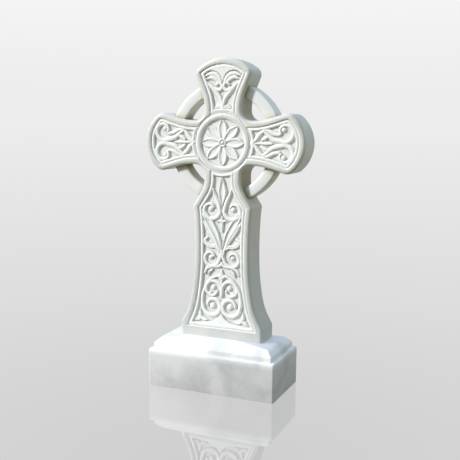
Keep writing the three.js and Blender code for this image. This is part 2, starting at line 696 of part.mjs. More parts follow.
function baseBlock() {
  const stepTop = BLOCK_HEIGHT + STEP_RISE;
  const softened = BASE_ARRIS / 2;
  const mesh = new THREE.Mesh(skin([
    ringAt(blockOutline(softened), 0),
    ringAt(blockOutline(0), softened),
    ringAt(blockOutline(0), BLOCK_HEIGHT - BASE_ARRIS),
    ringAt(blockOutline(softened / 2), BLOCK_HEIGHT - softened / 2),
    ringAt(blockOutline(BASE_ARRIS), BLOCK_HEIGHT),
    ringAt(blockOutline(LEDGE), BLOCK_HEIGHT),
    ringAt(blockOutline(LEDGE), stepTop - softened),
    ringAt(blockOutline(LEDGE + softened), stepTop),
    ringAt(blockOutline(PLATEAU_INSET), BASE_HEIGHT),
  ]), veinedMarble);
  mesh.name = 'base_block';
  return mesh;
}

const gravestone = new THREE.Group();
gravestone.add(baseBlock(), celticCross());

export default gravestone;
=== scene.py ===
"""White marble Celtic cross gravestone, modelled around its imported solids.

The cross is one stone: a slab with flared arms and a ring, whose face is carved in relief, on a
moulded block. Sizes are in millimetres in the drawings and in metres in the scene. The drawing of
the cross lies flat: x across, y up from the foot of the cross, and depth is measured back from
the face.
"""

from __future__ import annotations

import logging
import math
from dataclasses import dataclass, field
from enum import Enum
from typing import Callable, Optional, Sequence, Union

import bpy
import numpy as np
from mathutils import Matrix, Vector
from mathutils.geometry import delaunay_2d_cdt


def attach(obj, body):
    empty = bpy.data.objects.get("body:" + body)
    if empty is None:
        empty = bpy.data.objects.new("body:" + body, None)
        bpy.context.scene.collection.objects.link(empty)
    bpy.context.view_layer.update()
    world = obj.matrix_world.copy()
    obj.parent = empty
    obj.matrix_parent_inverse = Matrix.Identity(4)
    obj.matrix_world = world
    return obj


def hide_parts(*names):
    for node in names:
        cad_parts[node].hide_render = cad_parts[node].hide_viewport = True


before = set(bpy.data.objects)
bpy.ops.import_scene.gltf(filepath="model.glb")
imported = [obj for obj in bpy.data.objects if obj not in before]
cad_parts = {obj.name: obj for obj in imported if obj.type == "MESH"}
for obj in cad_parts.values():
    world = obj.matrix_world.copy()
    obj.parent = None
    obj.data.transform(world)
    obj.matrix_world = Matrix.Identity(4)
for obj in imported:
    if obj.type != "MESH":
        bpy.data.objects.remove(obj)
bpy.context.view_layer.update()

LOG = logging.getLogger("gravestone")
# Vertex attribute of painted shade in the carving's hollows and the ring's gaps
HOLLOW_SHADE = "hollow"
# Vertex attribute of painted light where the carving is sunk and on the ring
SUNK_LIGHT = "sunk"
MM = 0.001

# Steps of the drawn curves
FLARE_STEPS = 24
END_STEPS = 16
CORNER_STEPS = 10
SPAN_STEPS = 8
LEAD_STEPS = 6

# How near counts as touching, in millimetres
TOUCH = 1.0

Place = Callable[[np.ndarray], np.ndarray]
Pair = tuple[float, float]


# Sizes shared by the drawings, in millimetres


@dataclass(frozen=True)
class CrossSizes:
    """Sizes of the cross: its slab, arms, shaft and borders.

    neck_hold and corner_pull are the shares of its length and width at which a flare bends.
    """

    thickness: float = 110.0
    front_y: float = -28.0
    foot_z: float = 174.0
    head: float = 701.0
    crown_rise: float = 293.0
    arm_reach: float = 304.0
    top_neck: float = 47.0
    side_neck: float = 54.0
    neck_hold: float = 0.38
    corner_pull: tuple[float, float] = (0.52, 0.64)
    face_round: float = 12.0
    back_round: float = 8.0
    border: float = 23.0
    corner_border: float = 20.0
    neck_border: float = 26.0
    foot_border: float = 30.0
    foot_border_ease: float = 8.0
    shoulder_mitre: float = 6.0
    inner_corner: float = 36.0
    lower_neck: float = 70.0
    neck_length: float = 130.0
    shoulder: float = 114.0
    shoulder_drop: float = 224.0
    waist: float = 106.0
    foot_spread: float = 160.0
    foot_rise: float = 48.0
    foot_band: float = 37.0


@dataclass(frozen=True)
class ReliefSizes:
    """Depths and widths of the sunk panels, the roundel and the carving."""

    outer_fall: float = 5.5
    groove: float = 4.4
    groove_width: float = 2.6
    groove_bed: float = 0.8
    bead_middle: float = 8.8
    bead_top: float = 2.3
    bead_fall: float = 4.2
    field: float = 9.8
    relief: float = 2.5
    raised_ground: float = 2.8
    ground_edge: float = 3.0
    tip_rise: float = 0.45
    full_rise_width: float = 8.0
    fillet: float = 1.1
    blend: float = 0.5
    skirt: float = 2.5
    crease: float = 0.3
    crease_width: float = 0.24
    rim_share: float = 0.33
    rim_most: float = 5.2
    rim_fall: float = 9.0
    petal_floor: float = 0.42
    petal_bowl: float = 0.34
    roundel_rim: float = 106.0
    roll_outer: float = 102.0
    roll_inner: float = 81.0
    roll_top: float = 0.4
    roundel_bed: float = 8.8
    petals: int = 8
    petal_length: float = 79.0
    petal_half: float = 18.6
    boss: float = 15.5
    boss_top: float = 1.3
    boss_fall: float = 4.5
    boss_skirt: float = 2.0
    button: float = 6.5
    button_top: float = 0.1
    button_gap: float = 2.0


CROSS = CrossSizes()
CUT = ReliefSizes()


# Plane geometry


def arc(centre: Sequence[float], radius: float, start: float, stop: float,
        steps: int) -> np.ndarray:
    """Points along an arc.

    Args:
        centre: Middle of the circle.
        radius: Its radius.
        start: First angle, in radians.
        stop: Last angle.
        steps: Number of equal steps.

    Returns:
        An array of steps + 1 points.
    """
    angle = np.linspace(start, stop, steps + 1)
    return np.stack([centre[0] + radius * np.cos(angle), centre[1] + radius * np.sin(angle)], 1)


def spline(points: Sequence[Pair], per_span: int = SPAN_STEPS) -> np.ndarray:
    """Smooth line through points, with its ends held.

    Args:
        points: Points to pass through.
        per_span: Steps between two of them.

    Returns:
        Points along the line.
    """
    given = np.asarray(points, float)
    ends = np.concatenate([given[:1], given, given[-1:]])
    t = np.linspace(0, 1, per_span, endpoint=False)[:, None]
    spans = []
    for before, a, b, after in zip(ends, ends[1:], ends[2:], ends[3:]):
        leave, arrive = (b - before) / 2, (after - a) / 2
        spans.append((2 * t**3 - 3 * t**2 + 1) * a + (t**3 - 2 * t**2 + t) * leave
                     + (3 * t**2 - 2 * t**3) * b + (t**3 - t**2) * arrive)
    return np.concatenate([*spans, given[-1:]])


def flare(neck: float, corner: float, start: float, stop: float) -> np.ndarray:
    """Right side of a flare, with x across it and y along.

    Args:
        neck: Half-width of its narrow end.
        corner: Half-width of its wide end.
        start: Place of the narrow end along it.
        stop: Place of the wide end.

    Returns:
        Points from the neck out to the corner.
    """
    length = stop - start
    out, along = CROSS.corner_pull
    handles = np.array([(neck, start), (neck, start + CROSS.neck_hold * length),
                        (neck + out * (corner - neck), start + along * length), (corner, stop)])
    t = np.linspace(0, 1, FLARE_STEPS + 1)[:, None]
    weights = np.concatenate([(1 - t)**3, 3 * t * (1 - t)**2, 3 * t**2 * (1 - t), t**3], 1)
    return weights @ handles


def left_of(along: np.ndarray) -> np.ndarray:
    """Unit vectors to the left of the given directions."""
    x, y = (along / np.linalg.norm(along, axis=1)[:, None]).T
    return np.stack([-y, x], 1)


def shifted(line: np.ndarray, widths: np.ndarray) -> np.ndarray:
    """Points of a line, moved to its left by widths that change along it."""
    return line + left_of(np.gradient(line, axis=0, edge_order=2)) * widths[:, None]


def mirrored(points: np.ndarray) -> np.ndarray:
    """The same points left of the centre line, in the order that goes on from the right ones."""
    return (points * (-1, 1))[::-1]


def on_top(p: np.ndarray) -> np.ndarray:
    """From an arm's own drawing, with y along the arm, to the top arm."""
    return p + (0, CROSS.head)


def on_right(p: np.ndarray) -> np.ndarray:
    """From an arm's own drawing to the right arm."""
    return np.stack([p[:, 1], CROSS.head - p[:, 0]], 1)


def on_left(p: np.ndarray) -> np.ndarray:
    """From an arm's own drawing to the left arm."""
    return np.stack([-p[:, 1], CROSS.head + p[:, 0]], 1)


def on_shaft(p: np.ndarray) -> np.ndarray:
    """From the shaft's drawing, with y above its panel line, to the cross."""
    return p + (0, CROSS.foot_band)


@dataclass(frozen=True)
class Arm:
    """One arm in its own drawing, with y along it from the centre of the head.

    neck and corner are half-widths of its panel, reach and rise give the bowed end, and the flare
    starts at start. The panel's corners have the radius turn, and the outline's are softer still.
    """

    neck: float
    corner: float
    reach: float
    rise: float
    start: float
    turn: float = 0.0
    softer: float = 0.0

    @property
    def radius(self) -> float:
        """Radius of the bowed end."""
        return (self.corner**2 + self.rise**2) / (2 * self.rise)

    @property
    def opening(self) -> float:
        """Half-angle of the bowed end."""
        return math.asin(self.corner / self.radius)

    def side(self) -> np.ndarray:
        """Right side of the panel line, from the neck out to the unrounded corner."""
        return flare(self.neck, self.corner, self.start, self.reach - self.rise)

    def end(self, spare: Union[float, np.ndarray] = 0.0) -> np.ndarray:
        """Bowed end, moved out by a spare width.

        Args:
            spare: The width, or one for each point.

        Returns:
            Points from the corner to the tip.
        """
        angle = np.linspace(math.pi / 2 - self.opening, math.pi / 2, END_STEPS + 1)
        reach = self.radius + spare
        return np.stack([reach * np.cos(angle),
                         self.reach - self.radius + reach * np.sin(angle)], 1)

    def panel(self) -> np.ndarray:
        """Panel line, with the roundel's curve as its inner end.

        Returns:
            Points of the closed line.
        """
        rim = CUT.roundel_rim
        side, end = self.side(), self.end()
        turn, clear = self._corner(self.turn, 0.0)
        start = [(self.neck, math.sqrt(rim**2 - self.neck**2))]
        right = np.concatenate([start, side[clear(side)], turn, end[clear(end)]])
        opening = math.asin(self.neck / rim)
        inner = arc((0, 0), rim, math.pi / 2 + opening, math.pi / 2 - opening, END_STEPS)
        return np.concatenate([right, mirrored(right)[1:], inner[1:-1]])

    def outline(self) -> np.ndarray:
        """Outline: the panel line moved out by the roll.

        Returns:
            Points of its right half, from the neck to the tip.
        """
        c = CROSS
        side, end = self.side(), self.end()
        outer = shifted(side, -np.linspace(c.border, c.corner_border, len(side)))
        crown = self.end(np.linspace(c.corner_border, c.border, len(end)))
        turn, clear = self._corner(self.turn + self.softer, c.corner_border)
        return np.concatenate([outer[clear(side)], turn, crown[clear(end)]])

    def _corner(self, radius: float, spare: float
                ) -> tuple[np.ndarray, Callable[[np.ndarray], np.ndarray]]:
        """The round at the right corner.

        Args:
            radius: Its radius on the panel line.
            spare: How far outside that line it is drawn.

        Returns:
            Its points, and a test for the points of the panel line that it leaves in place.
        """
        side = self.side()
        along = side[-1] - side[-2]
        first = math.atan2(-along[0], along[1])
        last = math.pi / 2 - self.opening
        outwards = np.array([math.cos(first) + math.cos(last), math.sin(first) + math.sin(last)])
        centre = side[-1] - outwards * radius / (1 + math.cos(last - first))
        cut = max(radius * math.tan((last - first) / 2), TOUCH)
        steps = CORNER_STEPS if radius + spare else 0
        turn = arc(centre, radius + spare, first, last, steps)
        return turn, lambda line: np.linalg.norm(line - side[-1], axis=1) > cut


TOP_ARM = Arm(neck=CROSS.top_neck, corner=86.0, reach=CROSS.crown_rise - CROSS.border, rise=31.0,
              start=CROSS.side_neck + CROSS.border + CROSS.inner_corner, softer=6.0)
SIDE_ARM = Arm(neck=CROSS.side_neck, corner=84.0, reach=CROSS.arm_reach - CROSS.border, rise=41.0,
               start=CROSS.top_neck + CROSS.border + CROSS.inner_corner, turn=16.0)


@dataclass
class Line:
    """A chain of straight pieces that points are measured from."""

    points: np.ndarray
    closed: bool = True
    chunk: int = 8000
    least_square: float = 1e-12

    def __post_init__(self) -> None:
        """Works out the pieces and how far along the line each one starts."""
        self.starts = self.points if self.closed else self.points[:-1]
        ends = np.roll(self.points, -1, axis=0) if self.closed else self.points[1:]
        self.runs = ends - self.starts
        lengths = np.linalg.norm(self.runs, axis=1)
        self.shares = np.concatenate([[0.0], np.cumsum(lengths)]) / lengths.sum()
        self.squares = np.maximum(lengths**2, self.least_square)

    def nearest(self, at: np.ndarray) -> tuple[np.ndarray, np.ndarray]:
        """Distance from the line, and the share of its length where it is nearest.

        Args:
            at: Points to measure.

        Returns:
            One distance and one share for each point.
        """
        distance, share = np.empty(len(at)), np.empty(len(at))
        for k in range(0, len(at), self.chunk):
            x = at[k:k + self.chunk, None, 0] - self.starts[None, :, 0]
            y = at[k:k + self.chunk, None, 1] - self.starts[None, :, 1]
            t = np.clip((x * self.runs[:, 0] + y * self.runs[:, 1]) / self.squares, 0, 1)
            square = (x - t * self.runs[:, 0])**2 + (y - t * self.runs[:, 1])**2
            best = square.argmin(1)
            row = np.arange(len(best))
            distance[k:k + self.chunk] = np.sqrt(square[row, best])
            part = t[row, best]
            share[k:k + self.chunk] = (self.shares[best] * (1 - part)
                                       + self.shares[best + 1] * part)
        return distance, share

    def inside(self, at: np.ndarray) -> np.ndarray:
        """Tells which points the closed line goes round.

        Args:
            at: Points to test.

        Returns:
            True for each point inside.
        """
        result = np.zeros(len(at), bool)
        for (x, y), (dx, dy) in zip(self.starts, self.runs):
            if dy == 0:
                continue
            spans = (at[:, 1] >= y) != (at[:, 1] >= y + dy)
            result ^= spans & (at[:, 0] < x + (at[:, 1] - y) * dx / dy)
        return result

    def depth_in(self, at: np.ndarray) -> np.ndarray:
        """Distance from the closed line, positive inside it."""
        return self.nearest(at)[0] * np.where(self.inside(at), 1, -1)

    def near(self, at: np.ndarray, margin: float) -> np.ndarray:
        """Indices of the points in the line's box, grown by a margin."""
        low, high = self.points.min(0) - margin, self.points.max(0) + margin
        return np.flatnonzero(((at > low) & (at < high)).all(1))


def round_fall(share: np.ndarray) -> np.ndarray:
    """Quarter-round that falls from 0 at the share 0 to 1 at the share 1."""
    return 1 - np.sqrt(1 - np.clip(share, 0, 1)**2)


def fall_to(top: float, foot: Union[float, np.ndarray], share: np.ndarray) -> np.ndarray:
    """Depth of a quarter-round between two depths."""
    return top + (foot - top) * round_fall(share)


def soft_least(a: np.ndarray, b: np.ndarray, width: float) -> np.ndarray:
    """The lesser of two depths, eased into each other over a width."""
    mix = np.clip(0.5 + 0.5 * (b - a) / width, 0, 1)
    return b + (a - b) * mix - width * mix * (1 - mix)


# Outline and panels


class CrossDrawing:
    """Outline of the cross and the lines of its panels."""

    SHAFT_STEPS = 10
    SWELL = ((0, 1), (0.12, 0.38), (0.31, 0))
    SPREAD = ((0.52, 0.03), (0.68, 0.15), (0.82, 0.35), (0.91, 0.61), (1, 1))

    def outline(self) -> np.ndarray:
        """Whole outline of the cross.

        Returns:
            Its points, counter-clockwise from the right end of the foot.
        """
        c = CROSS
        side = SIDE_ARM.outline()
        arm = on_right(np.concatenate([side, mirrored(side)[1:]]))
        neck = self._neck(c.lower_neck, c.shoulder, c.shoulder_drop)[::-1]
        below = self._inner_corner(c.lower_neck, SIDE_ARM.neck + c.border, -1)[::-1]
        above = self._inner_corner(TOP_ARM.neck + c.border, SIDE_ARM.neck + c.border, 1)
        right = np.concatenate([[(c.foot_spread, 0.0)], self._shaft_side()[::-1], neck[1:],
                                below, arm, above, on_top(TOP_ARM.outline())])
        return np.concatenate([right, mirrored(right)[1:]])

    def panels(self) -> list[np.ndarray]:
        """Closed panel lines of the top, right and left arms and of the shaft."""
        side = SIDE_ARM.panel()
        return [on_top(TOP_ARM.panel()), on_right(side), on_left(side), self._shaft_panel()]

    def _shaft_side(self) -> np.ndarray:
        """Right side of the shaft.

        Returns:
            Points from the shoulder down to the top of the foot.
        """
        c = CROSS
        top = c.head - c.shoulder_drop
        swell, spread = c.shoulder - c.waist, c.foot_spread - c.waist
        points = [(c.waist + share * out, top - down * (top - c.foot_rise))
                  for part, out in ((self.SWELL, swell), (self.SPREAD, spread))
                  for down, share in part]
        return spline(points, self.SHAFT_STEPS)

    def _neck(self, neck: float, shoulder: float, drop: float) -> np.ndarray:
        """Right side of the lower neck, from under the head down to the shoulder."""
        side = flare(neck, shoulder, CROSS.neck_length, drop)
        return np.stack([side[:, 0], CROSS.head - side[:, 1]], 1)

    def _inner_corner(self, upright: float, arm: float, side: int) -> np.ndarray:
        """Round between the right arm and the upright.

        Args:
            upright: Half-width of the upright.
            arm: Half-width of the arm.
            side: 1 above the arm, or -1 below it.

        Returns:
            Points from the arm to the upright.
        """
        radius = CROSS.inner_corner
        centre = (upright + radius, CROSS.head + side * (arm + radius))
        return arc(centre, radius, -side * math.pi / 2, -side * math.pi, CORNER_STEPS)

    def _shaft_panel(self) -> np.ndarray:
        """Panel line of the shaft.

        Returns:
            Points of the closed line, from the corner at its right foot.
        """
        c = CROSS
        side = self._shaft_side()
        share = np.linspace(0, 1, len(side))
        line = shifted(side, -(c.border + (c.foot_border - c.border) * share**c.foot_border_ease))
        half = c.lower_neck - c.neck_border
        neck = self._neck(half, line[0, 0], c.shoulder_drop + c.shoulder_mitre)
        kept = line[1:][line[1:, 1] > c.foot_band + TOUCH]
        corner = [(np.interp(-c.foot_band, -line[:, 1], line[:, 0]), c.foot_band)]
        opening = math.asin(half / CUT.roundel_rim)
        inner = arc((0, c.head), CUT.roundel_rim, opening - math.pi / 2,
                    -opening - math.pi / 2, END_STEPS)
        right = np.concatenate([corner, kept[::-1], neck[::-1], inner[:1]])
        return np.concatenate([right, inner[1:-1], mirrored(right)])


# Carving


class Section(Enum):
    """Cross-section of a carved band."""

    ROLL = "roll"
    LEAF = "leaf"
    PETAL = "petal"


@dataclass(frozen=True)
class Curl:
    """A curl that winds round a centre while its radius closes, with its angles in degrees."""

    centre: Pair
    outer: float
    inner: float
    start: float
    sweep: float
    ease: float = 1.0
    step: float = 12.0

    def points(self) -> list[Pair]:
        """Draws the curl.

        Returns:
            Points along it, from its outer end.
        """
        steps = math.ceil(abs(self.sweep) / self.step)
        share = np.linspace(0, 1, steps + 1)
        angle = np.radians(self.start + self.sweep * share)
        radius = self.outer + (self.inner - self.outer) * share**self.ease
        return list(zip(self.centre[0] + radius * np.cos(angle),
                        self.centre[1] + radius * np.sin(angle)))


@dataclass(frozen=True)
class Stroke:
    """One carved stem, leaf or berry, with half-widths spread evenly along it."""

    section: Section
    points: Sequence[Pair]
    widths: Sequence[float]
    single: bool = False
    smooth_from: int = 40
    berry_run: float = 0.01

    def depth(self, at: np.ndarray, ground: float, place: Place, flip: bool
              ) -> tuple[np.ndarray, np.ndarray]:
        """Depth of the band's surface at the points near it.

        Args:
            at: Points on the drawing of the cross.
            ground: Depth of the field that the band rises from.
            place: From the band's own drawing to the cross.
            flip: Draws it left of the centre line.

        Returns:
            The indices of the points near the band, and its depth at them.
        """
        line = self._middle(place, flip)
        index = line.near(at, max(self.widths) + 2 * CUT.fillet)
        distance, share = line.nearest(at[index])
        half = np.interp(share, np.linspace(0, 1, len(self.widths)), self.widths)
        rise = np.minimum(1, CUT.tip_rise + half / CUT.full_rise_width)
        height = (ground - CUT.relief) * rise * self._profile(distance, half)
        outside = ground + CUT.skirt * (distance - half)
        return index, np.where(distance < half, ground - height, outside)

    def _middle(self, place: Place, flip: bool) -> Line:
        """Middle line of the band.

        Args:
            place: From the band's own drawing to the cross.
            flip: Draws it left of the centre line.

        Returns:
            The line, smoothed where it has too few points to be smooth as it is.
        """
        drawn = np.asarray(self.points, float) * ((-1, 1) if flip else (1, 1))
        if len(drawn) == 1:
            drawn = np.concatenate([drawn, drawn + (0, self.berry_run)])
        elif len(drawn) < self.smooth_from:
            drawn = spline(drawn)
        return Line(place(drawn), closed=False)

    def _profile(self, distance: np.ndarray, half: np.ndarray) -> np.ndarray:
        """Shape of the band across its middle line.

        Args:
            distance: Distance of each point from the middle.
            half: Half-width of the band there.

        Returns:
            Height over the ground, as a share of the band's full rise.
        """
        c = CUT
        dome = np.sqrt(1 - np.clip(distance / half, 0, 1)**2)
        if self.section is Section.ROLL:
            return dome
        if self.section is Section.LEAF:
            return dome - c.crease * np.exp(-(distance / (c.crease_width * half))**2)
        rim = np.minimum(c.rim_share * half, c.rim_most)
        roll = np.sqrt(1 - np.clip(np.abs(distance - half + rim) / rim, 0, 1)**2)
        bowl = c.petal_floor + c.petal_bowl * (distance / (half - rim))**2
        return np.where(distance < half - rim, np.maximum(roll, bowl), roll)


def stem(points: Sequence[Pair], widths: Sequence[float]) -> Stroke:
    """A rounded stem."""
    return Stroke(Section.ROLL, points, widths)


def scroll(points: Sequence[Pair], curl: Curl, widths: Sequence[float]) -> Stroke:
    """A rounded stem that ends in a curl."""
    lead = spline([*points, curl.points()[0]], LEAD_STEPS)[:-1]
    return Stroke(Section.ROLL, [*map(tuple, lead), *curl.points()], widths)


def leaf(points: Sequence[Pair], widths: Sequence[float], single: bool = False) -> Stroke:
    """A small leaf with a crease along it."""
    return Stroke(Section.LEAF, points, widths, single)


def petal(points: Sequence[Pair], widths: Sequence[float], single: bool = False) -> Stroke:
    """A broad leaf or petal, hollow between thick rims."""
    return Stroke(Section.PETAL, points, widths, single)


def berry(x: float, y: float, radius: float) -> Stroke:
    """A round berry."""
    return Stroke(Section.ROLL, [(x, y)], [radius])


SHAFT_CARVING = [
    petal([(0, 543), (0, 520), (0, 499), (0, 475), (0, 448)], [2, 11, 18.5, 14, 4], single=True),
    scroll([(35, 502), (28, 479), (15, 452)], Curl((41, 428), 34, 13, 190, 300, 2.4),
           [4, 8, 8, 8.5, 8.5, 7, 5]),
    berry(43, 431, 10),
    petal([(66, 410), (45, 375), (26, 343), (11, 304), (3, 264)], [11, 16, 14, 9, 4]),
    leaf([(73, 386), (53, 354), (37, 332), (20, 306), (7, 280)], [3, 9, 9.5, 8, 4]),
    leaf([(57, 326), (66, 318), (60, 305), (44, 297), (26, 296), (10, 284)],
         [4, 8, 9.5, 8.5, 7, 4]),
    leaf([(0, 407), (0, 392), (0, 372), (0, 350)], [2, 9, 6, 3], single=True),
    stem([(0, 387), (10, 389), (19, 386)], [5, 5, 2]),
    scroll([(3, 284), (4, 262)], Curl((40, 255), 31, 12, 205, 300, 2),
           [4, 7, 7.5, 7.5, 7, 6, 5]),
    berry(42, 257, 9),
    stem([(0, 236), (10, 226), (40, 222), (58, 214), (67, 197)], [6, 6, 6, 6, 4]),
    stem([(36, 212), (47, 204), (52, 190)], [4, 5, 2]),
    leaf([(0, 214), (0, 190), (0, 172), (0, 160)], [2, 10, 7, 4], single=True),
    stem([(0, 180), (12, 190), (24, 189)], [7, 6, 2]),
    scroll([(16, 190), (42, 176), (62, 149), (73, 119), (75, 89)],
           Curl((34, 80), 38, 20, -25, -330), [4, 6, 6.5, 7.5, 8.5, 9, 9, 8.5, 6]),
    berry(34, 80, 12),
    scroll([(2, 116)], Curl((32, 141), 30, 15, 184, -340, 3.4), [4, 7.5, 7.5, 7.5, 6.5, 5]),
    berry(31, 147, 9),
    berry(43, 126, 7),
    leaf([(80, 33), (84, 47), (84, 62)], [6, 8, 2]),
    leaf([(78, 34), (91, 27), (104, 20)], [6, 8, 2]),
    leaf([(80, 34), (68, 27), (53, 26)], [6, 8, 2]),
]
SHAFT_HILL = [(112, 9), (60, 17), (40, 21), (20, 31), (9, 43), (0, 57)]

SIDE_CARVING = [
    scroll([(41, 152), (29, 168), (14, 188)], Curl((37, 228), 32, 13, 200, -300, 2.8),
           [5, 9, 9.5, 9, 8.5, 7.5, 5]),
    berry(47, 225, 9.5),
    stem([(30, 209), (33, 190), (42, 172), (46, 154)], [6, 8, 8, 4]),
    stem([(1, 108), (8, 120), (20, 130), (33, 140), (46, 156)], [5, 8, 9, 8, 4]),
    stem([(10, 146), (18, 158), (23, 172)], [5, 9, 4]),
    stem([(0, 122), (0, 145), (0, 165), (0, 184)], [3, 6, 8, 3]),
]

TOP_CARVING = [
    stem([(5, 196), (10, 216), (25, 233), (44, 237), (64, 231)], [5, 8, 9, 8.5, 4]),
    stem([(13, 204), (28, 219), (44, 224), (61, 219)], [4, 8, 8.5, 3]),
    scroll([(48, 200), (33, 187)], Curl((16, 195), 15, 8, -80, -250), [5, 7.5, 7, 5]),
    stem([(60, 210), (42, 190), (25, 173), (10, 155), (3, 135), (2, 120)],
         [2, 6, 8, 8, 7, 5]),
    leaf([(3, 122), (18, 124), (34, 116)], [5, 8, 2]),
]
TOP_ARCHES = [(74, 232), (58, 244), (40, 247), (20, 241), (8, 228), (3, 214), (0, 206)]
ARCHES_SHARE = 0.92


class CarvedFace:
    """Depth of the carved face of the cross at any point of its drawing."""

    BELOW_FOOT = 60.0
    HILL_FALL = 2.0
    PETAL_SPINE = (0.14, 0.43, 0.72, 1)
    PETAL_WIDTHS = (0.3, 0.62, 0.88, 1, 0.98, 0.72, 0.1)

    def __init__(self, drawing: CrossDrawing) -> None:
        """Keeps the lines that the depth is measured from.

        Args:
            drawing: Where the outline and the panel lines come from.
        """
        outline = drawing.outline()
        ends = np.array([(CROSS.foot_spread, -self.BELOW_FOOT)])
        self.edge = Line(np.concatenate([ends, outline, mirrored(ends)]), closed=False)
        self.loop = Line(outline)
        self.panels = [Line(panel) for panel in drawing.panels()]

    def rounding(self, at: np.ndarray) -> np.ndarray:
        """Depth of the rounded edge at points on the drawing."""
        distance, _ = self.edge.nearest(at)
        return CROSS.face_round * round_fall(1 - distance / CROSS.face_round)

    def relief(self, at: np.ndarray) -> np.ndarray:
        """Depth of the carving below the plane of the face.

        Args:
            at: Points on the drawing.

        Returns:
            One depth for each point, in millimetres, without the rounding of the edge.
        """
        depth = np.zeros(len(at))
        for panel in self.panels:
            index = panel.near(at, CUT.outer_fall)
            depth[index] = np.maximum(depth[index], self._panel(panel.depth_in(at[index])))
        radius = np.hypot(at[:, 0], at[:, 1] - CROSS.head)
        depth = np.maximum(depth, self._rim_groove(radius))
        disc = radius < CUT.roll_outer
        depth[disc] = self._roundel(radius[disc])
        self._carve(depth, at, SHAFT_CARVING, on_shaft, CUT.field)
        self._carve(depth, at, TOP_CARVING, on_top, CUT.field)
        self._carve(depth, at, SIDE_CARVING, on_right, CUT.field)
        self._carve(depth, at, SIDE_CARVING, on_left, CUT.field)
        self._raise(depth, at, on_shaft(self._hill()))
        self._raise(depth, at, on_top(self._arches()))
        self._flower(depth, at, radius)
        return depth

    def _panel(self, inward: np.ndarray) -> np.ndarray:
        """Roll's inner side, groove, bead and field.

        Args:
            inward: Distance inside the panel line, less than 0 outside it.

        Returns:
            Depth below the face.
        """
        c = CUT
        outside = c.groove * round_fall(1 + inward / c.outer_fall)
        bed = c.groove + c.groove_bed * np.sin(
            np.clip(inward / c.groove_width, 0, 1) * math.pi)
        past = inward - c.bead_middle
        rise = fall_to(c.bead_top, c.groove, -past / (c.bead_middle - c.groove_width))
        fall = fall_to(c.bead_top, c.field, past / c.bead_fall)
        return np.select([inward < 0, inward < c.groove_width, inward < c.bead_middle],
                         [outside, bed, rise], fall)

    def _rim_groove(self, radius: np.ndarray) -> np.ndarray:
        """Groove round the roundel and the fall of the borders into it.

        Args:
            radius: Distance from the middle of the head.

        Returns:
            Depth below the face.
        """
        c = CUT
        past = radius - c.roll_outer - c.groove_width
        fall = c.groove * round_fall(1 - past / c.rim_fall)
        return np.where(past < 0, c.groove + c.groove_bed, fall)

    def _roundel(self, radius: np.ndarray) -> np.ndarray:
        """Roll of the roundel and the bed inside it.

        Args:
            radius: Distance from the middle of the head.

        Returns:
            Depth below the face.
        """
        c = CUT
        crest, half = (c.roll_outer + c.roll_inner) / 2, (c.roll_outer - c.roll_inner) / 2
        foot = np.where(radius > crest, c.groove + c.groove_bed, c.roundel_bed)
        return fall_to(c.roll_top, foot, np.abs(radius - crest) / half)

    def _carve(self, depth: np.ndarray, at: np.ndarray, carving: Sequence[Stroke],
               place: Place, ground: float) -> None:
        """Raises a list of bands out of its field, on both sides of its centre line.

        Args:
            depth: Depth at each point, which is changed.
            at: The points.
            carving: The bands.
            place: From their drawing to the cross.
            ground: Depth of their field.
        """
        raised = np.full(len(at), np.inf)
        for stroke in carving:
            for flip in (False,) if stroke.single else (False, True):
                index, band = stroke.depth(at, ground, place, flip)
                bare = np.isinf(raised[index])
                eased = soft_least(np.where(bare, band, raised[index]), band, CUT.blend)
                raised[index] = np.where(bare, band, eased)
        touched = np.flatnonzero(~np.isinf(raised))
        depth[touched] = soft_least(depth[touched], raised[touched], CUT.fillet)

    def _raise(self, depth: np.ndarray, at: np.ndarray, area: np.ndarray) -> None:
        """Raises a closed area of ground, with a rounded edge.

        Args:
            depth: Depth at each point, which is changed.
            at: The points.
            area: Outline of the area.
        """
        line = Line(area)
        index = line.near(at, CUT.ground_edge)
        inward = line.depth_in(at[index])
        rounded = fall_to(CUT.raised_ground, CUT.field, 1 - inward / CUT.ground_edge)
        level = np.where(inward > 0, rounded, CUT.field - self.HILL_FALL * inward)
        depth[index] = soft_least(depth[index], level, CUT.fillet)

    def _hill(self) -> np.ndarray:
        """Raised ground at the foot of the shaft's panel, in the shaft's drawing."""
        right = spline(SHAFT_HILL)
        return np.concatenate([[(0, CUT.bead_middle)], right, mirrored(right)[1:]])

    def _arches(self) -> np.ndarray:
        """Raised ground at the crown of the top arm.

        Returns:
            Its outline, in the arm's own drawing.
        """
        arm = TOP_ARM
        opening = arm.opening * ARCHES_SHARE
        rim = arc((0, arm.reach - arm.radius), arm.radius - CUT.bead_middle,
                  math.pi / 2 + opening, math.pi / 2 - opening, FLARE_STEPS)
        right = spline(TOP_ARCHES)
        return np.concatenate([rim, right, mirrored(right)[1:]])

    def _flower(self, depth: np.ndarray, at: np.ndarray, radius: np.ndarray) -> None:
        """Flower with its boss, in the roundel.

        Args:
            depth: Depth at each point, which is changed.
            at: The points.
            radius: Their distances from the middle of the head.
        """
        c = CUT
        spine = np.array([(0, share * c.petal_length) for share in self.PETAL_SPINE])
        widths = [share * c.petal_half for share in self.PETAL_WIDTHS]
        petals = []
        for i in range(c.petals):
            turn = 2 * math.pi * i / c.petals
            spin = np.array([(math.cos(turn), math.sin(turn)), (-math.sin(turn), math.cos(turn))])
            petals.append(petal([tuple(p) for p in spine @ spin], widths, single=True))
        self._carve(depth, at, petals, on_top, c.roundel_bed)
        near = np.flatnonzero(radius < c.boss + c.fillet)
        r = radius[near]
        outside = c.roundel_bed + c.boss_skirt * (r - c.boss)
        eased = soft_least(depth[near], outside, c.fillet)
        depth[near] = np.where(r < c.boss, self._boss(r), eased)

